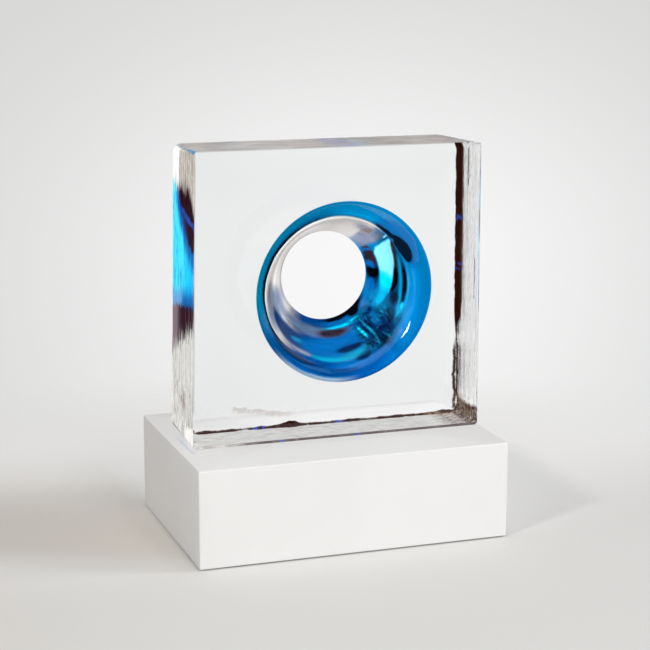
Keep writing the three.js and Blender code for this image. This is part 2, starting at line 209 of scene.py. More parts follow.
# %% Funnel section
MOUTH_RADIUS, CREASE_RADIUS, NECK_RADIUS = 0.060, 0.050, 0.031
CREASE_DEPTH = 0.014
MOUTH_OFFSET = np.array([0.0026, 0.0011])
CREASE_DROP = 0.0022
NECK_LEAN = np.array([0.005, 0.0012])
LIP_BULGE, CONE_HOLLOW = 0.0012, 0.0010
OUT_OF_ROUND, OVAL_TURN = 0.0005, 0.35
LINER_WALL = 0.0013
mouth_middle = glass_middle[[0, 2]] + MOUTH_OFFSET
LIP_RINGS, CONE_RINGS = 14, 24


def funnel_wall(turn, depth, growth=0.0):
    """Points of the funnel's wall. The radius falls along the lip and then along the cone, the middle drops
    to the crease and then leans to the neck, and growth is added to the radius."""
    turn, depth = np.broadcast_arrays(turn, depth)
    lip = np.clip(depth / CREASE_DEPTH, 0, 1)
    cone = np.clip((depth - CREASE_DEPTH) / (GLASS_DEPTH - CREASE_DEPTH), 0, 1)
    radius = lerp(lerp(MOUTH_RADIUS, CREASE_RADIUS, lip), NECK_RADIUS, cone)
    radius = radius + CONE_HOLLOW * np.sin(np.pi * cone) - LIP_BULGE * np.sin(np.pi * lip)
    radius = radius + OUT_OF_ROUND * (1 - cone) * np.cos(2 * (turn - OVAL_TURN)) + growth
    middle_x = mouth_middle[0] + NECK_LEAN[0] * cone
    middle_z = mouth_middle[1] + lerp(-CREASE_DROP * lip, NECK_LEAN[1], cone)
    x = middle_x + radius * np.cos(turn)
    z = middle_z + radius * np.sin(turn)
    return np.stack([x, front_y + depth, z], axis=-1)


def funnel_depths(fineness=1):
    """Depths of the rings, close together on the curved lip and wider apart on the cone."""
    lip = np.linspace(0, CREASE_DEPTH, LIP_RINGS * fineness + 1)
    return np.concatenate([lip, np.linspace(CREASE_DEPTH, GLASS_DEPTH, CONE_RINGS * fineness + 1)[1:]])


# %% [markdown]
# ## The clear block
#
# The block is one hoop. Its section runs over the front face, through the funnel, over the back face, round
# the rolled back edge and forward along the mould skin to the front arris again. Each ring has one point
# for each point of the block's outline, and that point's direction from the funnel's middle is also its
# place on the funnel's wall, so that no line on the flat faces crosses another.

# %% Outline of the block
SIDE_POINTS, CORNER_POINTS = 140, 12
FRONT_CORNERS = np.array([0.0032, 0.0016, 0.0024, 0.0024])
BACK_CORNERS = np.array([0.0100, 0.0070, 0.0070, 0.0080])


def block_outline(share):
    """The block's outline at a share of its depth. Its corners grow from the front radii to the back ones,
    and its points move out sideways by a spread that grows from nothing at the top to all at the foot."""
    radii = lerp(FRONT_CORNERS, BACK_CORNERS, share)
    outline, ways = round_outline((0, 0), glass_half, radii, SIDE_POINTS, CORNER_POINTS)
    x, z = outline.T
    fall = np.clip((glass_half[1] - UPRIGHT_ENDS - z) / (2 * (glass_half[1] - UPRIGHT_ENDS)), 0, 1)
    x = x + np.where(x < 0, LEFT_SPREAD, RIGHT_SPREAD) * fall * x / glass_half[0]
    return glass_middle[[0, 2]] + np.stack([x, z], axis=-1), ways


front_outline, front_ways = block_outline(0.0)
outline_turn = np.arctan2(*(front_outline - mouth_middle).T[::-1])
walk = np.linalg.norm(np.roll(front_outline, -1, 0) - front_outline, axis=1)
distance = np.concatenate([[0], np.cumsum(walk)[:-1]])
perimeter = walk.sum()
print("outline", len(front_outline), "points", round(perimeter, 4), "m round")

# %% Waves
rng = np.random.default_rng(7)


def waves(count, shortest, longest):
    """Random waves: for each a wavelength, a phase and a direction's tilt."""
    length = np.exp(rng.uniform(np.log(shortest), np.log(longest), count))
    return length, rng.uniform(0, 2 * np.pi, count), rng.normal(0, 1, count)


def ragged(along, wave_set, power):
    """Sum of the waves, each as high as its length to a power, scaled to stay between -1 and 1."""
    length, phase, _ = wave_set
    whole = np.maximum(np.round(perimeter / length), 1)
    height = np.sin(2 * np.pi * whole * along[:, None] / perimeter + phase) * length**power
    return height.sum(-1) / (length**power).sum()


# %% [markdown]
# ## The mould skin
#
# The hot glass took the print of the mould's walls: long, shallow flutes that run round the block, so that
# they change quickly from front to back and slowly from bottom to top. Low swells cross them. Their slopes
# are only a few degrees, but glass shows every one of them as a bent streak.

# %% Mould skin
FLUTES = waves(9, 0.0035, 0.018)
SWELLS = waves(6, 0.03, 0.12)
FLUTE_HEIGHT, SWELL_HEIGHT = 0.0006, 0.0003
FLUTE_BENDS, FLUTE_TILT, SWELL_TILT = 9, 20, 30


def mould_skin(along, depth):
    """How far the mould skin lies inside the plain block: flutes that change with the depth and wander along
    the outline, and swells that change along the outline."""
    height, swell = 0.0, 0.0
    for length, phase, tilt in zip(*FLUTES):
        bend = 0.5 * np.sin(2 * np.pi * along / perimeter * FLUTE_BENDS + phase)
        bend = bend + tilt * FLUTE_TILT * along
        height = height + length * np.sin(2 * np.pi * depth / length + phase + bend)
    for length, phase, tilt in zip(*SWELLS):
        swell = swell + np.sin(2 * np.pi * along / length + phase + tilt * SWELL_TILT * depth)
    height, swell = height / FLUTES[0].sum(), swell / len(SWELLS[0])
    return FLUTE_HEIGHT * (0.5 + 0.5 * height) + SWELL_HEIGHT * (0.5 + 0.5 * swell)


# %% [markdown]
# ## The bevelled back edge
#
# A mould has draft, so that the glass comes out of it: towards the back, the block's sides lean in. On the
# right, where the mould was parted, the cast skin ends in a bevel some nine millimetres deep, which wanders
# because hot glass draws back from the mould unevenly. A painted dark reflection of the room lies on it and
# shows as a wavering band along the inside of the block. The other sides draw in by less than a millimetre.
# Near the foot the bevel was ground away, which left a small edge with chips in it.

# %% Bevel
BEVEL_DEPTH, BEVEL_INSET, BEVEL_REST = 0.0092, 0.0030, 0.0007
BEVEL_WANDER, BEVEL_SWELL = 0.30, 1.25
BEVEL_LOW, BEVEL_HIGH = 0.040, 0.075
BEVEL_LEAST = 0.3
BACK_EDGE, FOOT_EDGE, FOOT_CHIP = 0.0010, 0.0009, 0.0024
FOOT_HEIGHT = 0.014
wander, flakes = waves(14, 0.006, 0.12), waves(18, 0.003, 0.03)
chips = waves(26, 0.0035, 0.05)
above_foot = front_outline[:, 1] - glass_low[2]
soft = smoothstep(above_foot, 0.001, FOOT_HEIGHT)
full = lerp(BEVEL_LEAST, 1.0, smoothstep(above_foot, BEVEL_LOW, BEVEL_HIGH)) * soft
bevel_depth = BEVEL_DEPTH * (1 + BEVEL_WANDER * 2 * ragged(distance, wander, 0.8))
parted = smoothstep(front_ways[:, 0], 0.3, 0.95)
bevel_waver = 1 + BEVEL_WANDER * ragged(distance, flakes, 0.6)
bevel_inset = lerp(BEVEL_REST, BEVEL_INSET, parted) * full * bevel_waver
foot_edge = FOOT_EDGE + FOOT_CHIP * np.clip(3 * ragged(distance, chips, 0.5), 0, 1)
back_edge = lerp(foot_edge, BACK_EDGE * (1 + 0.5 * ragged(distance, flakes, 0.5)), soft)
print("bevel", round(bevel_depth.min(), 4), "to", round(bevel_depth.max(), 4), "deep")


def bevel(depth):
    """How far the bevel has drawn the outline in at a depth: a power of the share of the bevel's depth."""
    share = np.clip((depth - (GLASS_DEPTH - bevel_depth)) / bevel_depth, 0, 1)
    return bevel_inset * share**BEVEL_SWELL


# %% Clear block
FRONT_ARRIS = 0.0006
SEAM_OVERLAP = 0.00005
FOOT_LIFT = 0.00003
SKIN_START = 0.003
FACE_RINGS, EDGE_RINGS, SKIN_RINGS = 3, 6, 92


def outline_ring(y, inset):
    """One ring of the block's skin: the outline of its own depth drawn in by an inset, at a depth y. The
    depth may differ from point to point, and then each point takes the outline of its own depth. The foot is
    kept a hair above the pads, so that the two faces don't flicker."""
    y, inset = np.broadcast_to(y, distance.shape), np.broadcast_to(inset, distance.shape)
    share = (y / GLASS_DEPTH)[:, None]
    near, ways = block_outline(0.0)
    far, _ = block_outline(1.0)
    flat = lerp(near, far, share) - inset[:, None] * ways
    return np.stack([flat[:, 0], front_y + y, np.maximum(flat[:, 1], glass_low[2] + FOOT_LIFT)], axis=-1)


def clear_block_rings():
    """The hoop of rings: front face, funnel, back face, rolled back edge and mould skin."""
    wall = LINER_WALL - SEAM_OVERLAP
    mouth, neck = (funnel_wall(outline_turn, depth, wall) for depth in (0.0, GLASS_DEPTH))
    front = outline_ring(0, FRONT_ARRIS)
    rings = [lerp(front, mouth, share) for share in np.linspace(0, 1, FACE_RINGS + 1)]
    rings += [funnel_wall(outline_turn, depth, wall) for depth in funnel_depths()[1:]]
    brink = GLASS_DEPTH - back_edge
    inset = bevel(brink)
    back = outline_ring(GLASS_DEPTH, inset + back_edge)
    rings += [lerp(neck, back, share) for share in np.linspace(0, 1, FACE_RINGS + 1)[1:]]
    for turn in np.linspace(np.pi / 2, 0, EDGE_RINGS + 1)[1:]:
        rings.append(outline_ring(brink + back_edge * np.sin(turn), inset + back_edge * (1 - np.cos(turn))))
    for share in np.linspace(1, 0, SKIN_RINGS + 1)[1:]:
        y = lerp(FRONT_ARRIS, brink, share)
        fade = smoothstep(y, 0.0, SKIN_START) * (1 - smoothstep(share, 0.96, 1.0)) * soft
        rings.append(outline_ring(y, mould_skin(distance, y) * fade + bevel(y)))
    return rings


clear_block = skin_of_rings("clear_block", clear_block_rings(), is_hoop=True)
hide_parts("glass_block")

# %% [markdown]
# ## The blue lining
#
# The lining is a thin cup of blue glass that was fused into the clear glass, so there is no air between the
# two. Two meshes that share one face would flicker, and a gap would throw the light back. So the lining's
# hidden face lies a hair inside the clear glass: the light then passes from one to the other unhindered,
# and only turns back at the face that is open to the air.

# %% Blue lining
LINING_POINTS = 560
LINING_FINENESS = 2
RIM_RADIUS = 0.0006
lining_turn = np.linspace(-np.pi, np.pi, LINING_POINTS, endpoint=False)
lining_depths = funnel_depths(LINING_FINENESS)
rim_growth = RIM_RADIUS - np.sqrt(RIM_RADIUS**2 - np.clip(RIM_RADIUS - lining_depths, 0, None) ** 2)


def lining_rings():
    """The face that is open to the air, with its rolled rim, and then the hidden face back to the front."""
    pairs = list(zip(lining_depths, rim_growth))
    seen = [funnel_wall(lining_turn, depth, growth) for depth, growth in pairs]
    hidden = [funnel_wall(lining_turn, depth, LINER_WALL) for depth, _ in pairs[::-1]]
    return seen + hidden


blue_lining = skin_of_rings("blue_lining", lining_rings(), is_hoop=True)
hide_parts("blue_funnel_liner")

# %% [markdown]
# ## How the blue lies in the lining
#
# The blue glass was trailed on and pulled about with a tool, so it is uneven. The lip is deep blue all
# round. Behind it the colour stops along a dark line on the upper left, where the wall is nearly
# colourless, and runs on down the right and the bottom of the cone in streaks, pools and folds. Some of the
# colours are painted light: the dark teardrop on the lip is a painted dark reflection, the navy beneath the
# lip's end on the upper left is painted shade, the pale rim at the lower left is a painted highlight, and the
# bright sail is painted gathered light under a band of painted shade. Every mark is an oval in two measures:
# the turn round the funnel in degrees, with 0 at the right and 90 at the top, and the depth behind the front
# in millimetres. A slow waver bends all their edges, so that none looks drawn.

# %% Marks of blue
DEEP_BLUE, MID_BLUE, BRIGHT_BLUE = (0.000, 0.080, 0.34), (0.001, 0.24, 0.80), (0.001, 0.42, 0.95)
NAVY, INK, TEAL = (0.000, 0.035, 0.17), (0.002, 0.003, 0.012), (0.003, 0.55, 0.92)
CYAN, PALE_CYAN, BROWN = (0.0, 0.85, 1.0), (0.35, 1.0, 1.0), (0.22, 0.095, 0.065)
PURPLE, LILAC, COLOURLESS = (0.12, 0.075, 0.13), (0.46, 0.52, 0.72), (0.98, 0.94, 0.92)
ROSE, AZURE, SEA_BLUE = (0.50, 0.40, 0.40), (0.0, 0.66, 1.0), (0.0, 0.13, 0.55)
DIM_LILAC, LAVENDER = (0.22, 0.38, 0.66), (0.60, 0.60, 0.74)
DUSK_BLUE, POOL_BLUE = (0.0, 0.030, 0.24), (0.002, 0.52, 0.96)
RIM_HIGHLIGHT_BLUE, VEIN_BLUE = (0.55, 0.78, 0.98), (0.01, 0.68, 1.0)

# turn, depth, half the width in degrees, half the depth, tilt in degrees per millimetre, softness, colour
MARKS = [
    (180, 26, 9, 8.0, 0.0, 0.9, ROSE),
    (-162, 34, 18, 22.0, 0.0, 0.7, LILAC),
    (-88, 9, 36, 12, 0.0, 0.5, SEA_BLUE),
    (-75, 12, 18, 5, 0.0, 0.6, MID_BLUE),
    (-128, 9, 22, 3.5, 1.5, 0.5, NAVY),
    (-125, 10, 9, 3.5, 0.5, 0.6, NAVY),
    (-98, 5.5, 20, 3.0, 0.0, 0.5, DEEP_BLUE),
    (-68, 16, 7, 4.0, 0.0, 0.6, NAVY),
    (-85, 21, 26, 4.0, 0.0, 0.4, TEAL),
    (-121, 22, 10, 3.5, 0.0, 0.5, LILAC),
    (-133, 30.5, 28, 7.5, -0.4, 0.22, DEEP_BLUE),
    (-124, 31, 5, 2.2, 1.0, 0.5, TEAL),
    (-90, 31, 32, 9.0, 0.0, 0.4, MID_BLUE),
    (-75, 27, 13, 3.2, 0.0, 0.4, NAVY),
    (-116, 46, 28, 4.8, 0.0, 0.7, DIM_LILAC),
    (-84, 44.5, 20, 3.8, 0.0, 0.5, PURPLE),
    (-65, 49, 28, 1.2, 0.0, 0.5, CYAN),
    (-60, 53.5, 32, 3.4, 0.0, 0.4, MID_BLUE),
    (-60, 57.0, 34, 1.8, 0.0, 0.5, INK),
    (-50, 54.5, 9, 2.4, 0.5, 0.5, INK),
    (-42, 31, 21, 19.0, 0.0, 0.3, DUSK_BLUE),
    (-57, 35, 1.8, 6.0, 0.0, 0.5, CYAN),
    (-50, 30, 1.2, 15.0, 0.0, 0.6, TEAL),
    (-38, 36, 4.5, 6.0, 0.5, 0.6, MID_BLUE),
    (-2, 19, 27, 5.5, 0.0, 0.35, POOL_BLUE),
    (2, 18, 17, 2.6, -2.5, 0.4, NAVY),
    (5, 17.5, 9, 1.7, -3.0, 0.5, INK),
    (-14, 28, 6, 4.0, 0.0, 0.7, NAVY),
    (-16, 18, 3, 1.4, 0.0, 0.5, CYAN),
    (-22, 40, 9, 9.0, 0.0, 0.6, BRIGHT_BLUE),
    (12, 51.5, 30, 6.5, 0.0, 0.25, NAVY),
    (24, 50.5, 13, 5.0, 0.0, 0.5, PURPLE),
    (3, 51.5, 7, 6.0, 0.0, 0.5, INK),
    (12, 54, 4, 5.0, 0.5, 0.7, MID_BLUE),
    (33, 52, 2, 6.0, 0.5, 0.7, MID_BLUE),
    (-13, 53, 7, 4.0, 0.0, 0.5, MID_BLUE),
    (48, 44, 9, 14.0, 0.0, 0.6, LILAC),
    (41, 18, 0.8, 5.0, -0.4, 0.6, PALE_CYAN),
    (45, 18, 0.8, 5.0, -0.4, 0.6, PALE_CYAN),
    (61, 29, 9, 8.0, -0.4, 0.8, LAVENDER),
    (56, 31, 4, 6.0, 0.0, 0.9, ROSE),
    (44, 36, 3.0, 16.0, -0.2, 0.8, LILAC),
    # The last three ovals are the dark teardrop on the lip: a painted dark reflection.
    (33, 9.8, 13, 4.8, 0.3, 0.16, INK),
    (47, 11.4, 13, 2.2, -1.0, 0.3, INK),
    (38, 12.6, 8, 2.6, 0.0, 0.3, INK),
]
LIP_TURNS = [-180, -150, -125, -90, -60, -20, 60, 120, 180]
LIP_COLOURS = [
    (0.001, 0.40, 0.64),
    (0.001, 0.14, 0.48),
    (0.000, 0.09, 0.44),
    (0.000, 0.14, 0.60),
    (0.000, 0.29, 0.90),
    (0.000, 0.36, 0.98),
    (0.000, 0.43, 0.98),
    (0.001, 0.33, 0.68),
    (0.001, 0.40, 0.64),
]
COLOURLESS_FROM, COLOURLESS_TO = 46.0, 226.0
LIP_END_TURNS = [46, 60, 90, 120, 150, 170, 180, 210, 240]
LIP_END_DEPTHS = [13, 12, 10.5, 8.9, 7.1, 6.9, 7.6, 11.8, 16.5]
LINE_WIDTH, LINE_SHADE, RIM_WIDTH = 0.9, 4.6, 2.6
MARK_WAVER, MARK_SOFTNESS = 2.2, 0.8
SAIL_TURNS, SAIL_STARTS = [-24, -10, 0, 10, 20, 30, 36, 40], [39, 33.5, 31.5, 29.5, 26.5, 23.5, 20.5, 16.5]
SAIL_DEPTHS, SAIL_SIDES = [16.5, 30, 40, 46], [42, 38, 33, 24]
SAIL_FOOT = 45.0
SHADE_TURNS, SHADE_WIDTHS = [-13, -6, 0, 8, 15, 25, 35, 43], [0, 4.0, 5.5, 5.4, 4.4, 4.0, 4.4, 4.6]
CRACKLE_TURNS, CRACKLE_DEPTHS = (-64, -22), (11, 50)
# degrees from vein to vein, seed, half the width as a share of that
VEINS = [(7.0, 5, 0.08), (3.4, 6, 0.10), (5.0, 9, 0.07), (4.2, 14, 0.08)]


# %% Helpers for the marks
def waver(turn, depth, seed):
    """A slow, uneven displacement: a sum of sines that run askew over the wall."""
    chance = np.random.default_rng(seed)
    total = 0.0
    for order in (2, 3, 5, 8, 13, 21):
        slope, phase = chance.uniform(0.05, 0.4), chance.uniform(0, 2 * np.pi)
        total = total + np.sin(order * np.radians(turn) + slope * depth + phase) / order**0.7
    return total / 2.2


def wrapped(turn):
    """The same turn, counted from -180 to 180 degrees."""
    return np.mod(turn + 180, 360) - 180


def painted(colour, share, other):
    """The colour with a share of another laid over it, point by point."""
    return lerp(colour, np.array(other), share[:, None])


def colourless_side(around):
    """Where the wall behind the lip is nearly colourless: a stretch of the turn with soft ends."""
    return stretch(around, COLOURLESS_FROM, COLOURLESS_FROM + 14, COLOURLESS_TO - 16, COLOURLESS_TO + 16)


def end_line(around, past_end):
    """The dark line along the lip's end, by the distance from that end. It is widest at the upper left."""
    width = LINE_WIDTH * (1 + 0.9 * stretch(around, 110, 140, 175, 190))
    line = (1 - smoothstep(abs(past_end) / width, 0.5, 1.3)) * colourless_side(around)
    return line * (0.6 + 0.4 * smoothstep(around, 105, 140))


# %% Tint of the lining
def lining_tint(turn, depth):
    """The colour of the lining at each turn in degrees and depth in millimetres: first the lip's own colours,
    then the colourless part, the marks in their order, the painted shade and the line at the lip's end, the
    painted highlight on the rim, the crackle and the sail."""
    turn = turn + MARK_WAVER * 1.5 * waver(turn, depth, 1)
    depth = depth + MARK_WAVER * 0.5 * waver(turn, depth, 2)
    around = np.mod(turn, 360)
    tint = np.stack([np.interp(wrapped(turn), LIP_TURNS, channel) for channel in zip(*LIP_COLOURS)], axis=-1)
    past_end = depth - np.interp(around, LIP_END_TURNS, LIP_END_DEPTHS)
    tint = painted(tint, colourless_side(around) * smoothstep(past_end, 0, 1.0), COLOURLESS)
    for at_turn, at_depth, half_turn, half_depth, tilt, softness, colour in MARKS:
        across = wrapped(turn - at_turn - tilt * (depth - at_depth))
        reach = np.hypot(across / half_turn, (depth - at_depth) / half_depth)
        edge = softness * MARK_SOFTNESS
        tint = painted(tint, 1 - smoothstep(reach, 1 - edge, 1 + edge), colour)
    shade = bell(past_end, LINE_SHADE) * (past_end < 0) * stretch(around, 80, 110, 200, 230)
    tint = painted(tint, 0.85 * shade, NAVY)
    # Painted highlight: the light from above mirrored in the lip's rim at the lower left.
    rim_highlight = smoothstep(RIM_WIDTH - depth, 0, 1.6) * stretch(wrapped(turn), -146, -126, -98, -76)
    tint = painted(tint, 0.85 * rim_highlight, RIM_HIGHLIGHT_BLUE)
    tint = painted(tint, 0.98 * end_line(around, past_end), INK)
    return with_sail(with_crackle(tint, turn, depth), turn, depth)


# %% Sail and crackle
def with_sail(tint, turn, depth):
    """Add the bright patch, shaped like a sail, which is painted gathered light, with a band of painted shade
    along its upper side that turns brown towards the tip. The sail is azure at its left end and nearly white
    at its right."""
    turn = wrapped(turn)
    above = np.interp(turn, SAIL_TURNS, SAIL_STARTS) - depth
    beside = np.interp(depth, SAIL_DEPTHS, SAIL_SIDES) - turn
    inside = smoothstep(-above, -0.4, 0.9) * smoothstep(beside, -1.5, 2.0)
    inside = inside * smoothstep(SAIL_FOOT - depth, -1.2, 1.6) * smoothstep(turn, -30, -22)
    width = np.interp(turn, SHADE_TURNS, SHADE_WIDTHS)
    shade = smoothstep(above, -0.6, 0.4) * smoothstep(width - above, -0.3, 1.0)
    shade = shade * stretch(turn, -14, -8, 40, 46)
    tint = painted(tint, shade, INK)
    tint = painted(tint, shade * smoothstep(turn, 10, 17), BROWN)
    tint = painted(tint, inside, AZURE)
    tint = painted(tint, inside * smoothstep(turn, -14, -3), CYAN)
    return painted(tint, inside * smoothstep(turn, 1, 12), PALE_CYAN)


def with_crackle(tint, turn, depth):
    """Add the crackle of the fold: a dark strip with thin, bent veins of cyan that run along the cone. A vein
    lies where a slowly bent coordinate passes a whole number."""
    turn = wrapped(turn)
    (start, end), (near, far) = CRACKLE_TURNS, CRACKLE_DEPTHS
    strip = stretch(turn, start - 2, start + 3, end - 5, end + 3)
    strip = strip * stretch(depth, near, near + 3, far, far + 3)
    for spacing, seed, width in VEINS:
        bent = turn / spacing + 0.9 * waver(turn * 2.0, depth * 3.0, seed)
        offset = bent - np.round(bent)
        broken = smoothstep(waver(turn * 4.0, depth * 4.0, seed + 20), 0.0, 0.45)
        tint = painted(tint, 0.85 * strip * broken * bell(offset, width), VEIN_BLUE)
    dark = smoothstep(waver(turn * 5.0, depth * 6.0, 31), 0.05, 0.5)
    return painted(tint, 0.7 * strip * dark, INK)


# %% Gathered glow and satin
TEAL_GLOW = 1.7
PALE_GLOW_TURNS, PALE_GLOWS = [85, 110, 150, 188, 205, 222], [0, 0.16, 0.19, 0.30, 0.32, 0]


def pool(turn, depth):
    """The pool of teal above the sail, where the wall gathers light: an oval in turn and depth."""
    return 1 - smoothstep(np.hypot((turn + 2) / 30, (depth - 19) / 7), 0.6, 1.2)


def pale_glow(turn, depth):
    """The light that the colourless wall gathers on the left, in two bands along the cone: one behind the lip
    and one before the neck, each a bell curve of the depth."""
    turn = np.mod(turn, 360)
    dip = 0.4 * bell(depth - 27, 6) * smoothstep(turn, 150, 185)
    bands = 0.45 * bell(depth - 10, 3.5) + 0.7 * bell(depth - 41.5, 3.5)
    return np.interp(turn, PALE_GLOW_TURNS, PALE_GLOWS) * (0.72 + bands - dip) * smoothstep(56 - depth, 0, 3)


# turn, depth, half the width in degrees, half the depth
SATIN_MARKS = [(38, 8.5, 26, 7.5)]


def satin_share(turn, depth):
    """Where the lip is satin and mirrors nothing: ovals in turn and depth."""
    ovals = [np.hypot((turn - at) / wide, (depth - deep) / high) for at, deep, wide, high in SATIN_MARKS]
    return 1 - smoothstep(np.minimum.reduce(ovals), 0.6, 1.1)


def glow_share(tint, turn, depth):
    """How much each point glows: by the green in a clear blue, more in the pool, and the pale glow where the
    wall has no colour."""
    red, green = tint[:, 0], tint[:, 1]
    bright = 2.0 * np.clip(green - 0.5, 0, 1) * np.clip(green - red - 0.2, 0, 1)
    teal = TEAL_GLOW * np.clip(green - 0.4, 0, 0.15) * pool(turn, depth)
    pale = np.clip((red - 0.4) / 0.45, 0, 1) * pale_glow(turn, depth)
    return np.maximum(np.maximum(bright, teal), pale)


# %% Paint the lining
# The third part of a place on the wall is its depth in units of five centimetres.
WALL_UNIT = 0.05


def store(piece, name, values):
    """Keep a number or a vector for each point as the piece's own attribute."""
    kind, field = ("FLOAT", "value") if values.ndim == 1 else ("FLOAT_VECTOR", "vector")
    piece.data.attributes.new(name, kind, "POINT").data.foreach_set(field, values.ravel())


def paint_lining():
    """Store the tint, the glow, the matt and satin shares, and each point's place on the wall."""
    angle = np.tile(lining_turn, 2 * len(lining_depths))
    depth = np.repeat(np.concatenate([lining_depths, lining_depths[::-1]]), LINING_POINTS)
    place = np.stack([np.cos(angle), np.sin(angle), depth / WALL_UNIT], axis=-1)
    turn, depth = np.degrees(angle), depth * 1000
    tint = lining_tint(turn, depth)
    store(blue_lining, "tint", tint)
    store(blue_lining, "glow", glow_share(tint, turn, depth))
    store(blue_lining, "ink", 1 - smoothstep(tint.max(axis=1), 0.03, 0.20))
    store(blue_lining, "satin", satin_share(turn, depth))
    store(blue_lining, "wall", place)
    print("painted", len(tint), "points with", len(MARKS), "marks")


paint_lining()

# %% [markdown]
# ## The plinth's lacquered shell
#
# The plinth is glued up from five boards and sprayed as one piece, so that no joint shows. One hollow skin
# stands for all five: up the inside, across under the top, and back over the outside.

# %% Lacquered shell
plinth_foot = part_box("plinth_front_board")[0][2]
top_low, top_high = (np.array(corner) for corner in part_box("plinth_top_board"))
BOARD_THICKNESS = top_high[2] - top_low[2]
PLINTH_CORNER, PLINTH_ARRIS = 0.0010, 0.0008
FOOT_ARRIS, LEAST_CORNER = 0.0003, 0.0002
PLINTH_SIDE_POINTS, PLINTH_CORNER_POINTS = 24, 8
plinth_half = (top_high - top_low)[:2] / 2
plinth_middle = ((top_high + top_low) / 2)[:2]
ARRIS_STEPS = 6


def shell_ring(inset, z):
    """The plinth's plan drawn in by an inset, at a height z."""
    half, radius = plinth_half - inset, max(PLINTH_CORNER - inset, LEAST_CORNER)
    plan, _ = round_outline(plinth_middle, half, np.full(4, radius), PLINTH_SIDE_POINTS, PLINTH_CORNER_POINTS)
    return np.column_stack([plan, np.full(len(plan), z)])


def lacquered_shell_rings():
    """From the ceiling down the inside, round the foot, up the outside and over a quarter-round arris."""
    ceiling, top = top_low[2], top_high[2]
    rings = [shell_ring(BOARD_THICKNESS, z) for z in (ceiling, plinth_foot)]
    rings += [shell_ring(FOOT_ARRIS, plinth_foot), shell_ring(0, plinth_foot + FOOT_ARRIS)]
    for turn in np.linspace(0, np.pi / 2, ARRIS_STEPS + 1):
        rings.append(shell_ring(PLINTH_ARRIS * (1 - np.cos(turn)), top - PLINTH_ARRIS * (1 - np.sin(turn))))
    return rings


lacquered_shell = skin_of_rings("lacquered_shell", lacquered_shell_rings())
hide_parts(*[f"plinth_{side}_board" for side in ("top", "front", "back", "left", "right")])

# %% [markdown]
# ## Shader maths
#
# A material here is written as sums. One small class wraps a node's socket and turns + - * and powers into
# Math nodes, and a sheet, which wraps the node tree, adds every other node by one method.

# %% Socket and sheet
class Sock:
    """A node's output. Arithmetic on it adds Math nodes."""

    def __init__(self, sheet, socket):
        self.sheet, self.socket = sheet, socket

    def math(self, operation, *values):
        return self.sheet.add("Math", {"operation": operation}, dict(enumerate(values)))

    def __add__(self, other):
        return self.math("ADD", self, other)

    def __sub__(self, other):
        return self.math("SUBTRACT", self, other)

    def __rsub__(self, other):
        return self.math("SUBTRACT", other, self)

    def __mul__(self, other):
        return self.math("MULTIPLY", self, other)

    def __pow__(self, other):
        return self.math("POWER", self, other)

    def __abs__(self):
        return self.math("ABSOLUTE", self)

    __radd__, __rmul__ = __add__, __mul__

    def exponent(self):
        return self.math("EXPONENT", self)

    def at_least(self, other):
        return self.math("MAXIMUM", self, other)

    def ramp(self, low, high, start=0.0, end=1.0):
        """A smooth step from start, where the value is low, to end, where it is high."""
        inputs = {"Value": self, "From Min": low, "From Max": high, "To Min": start, "To Max": end}
        return self.sheet.add("MapRange", {"interpolation_type": "SMOOTHSTEP"}, inputs)


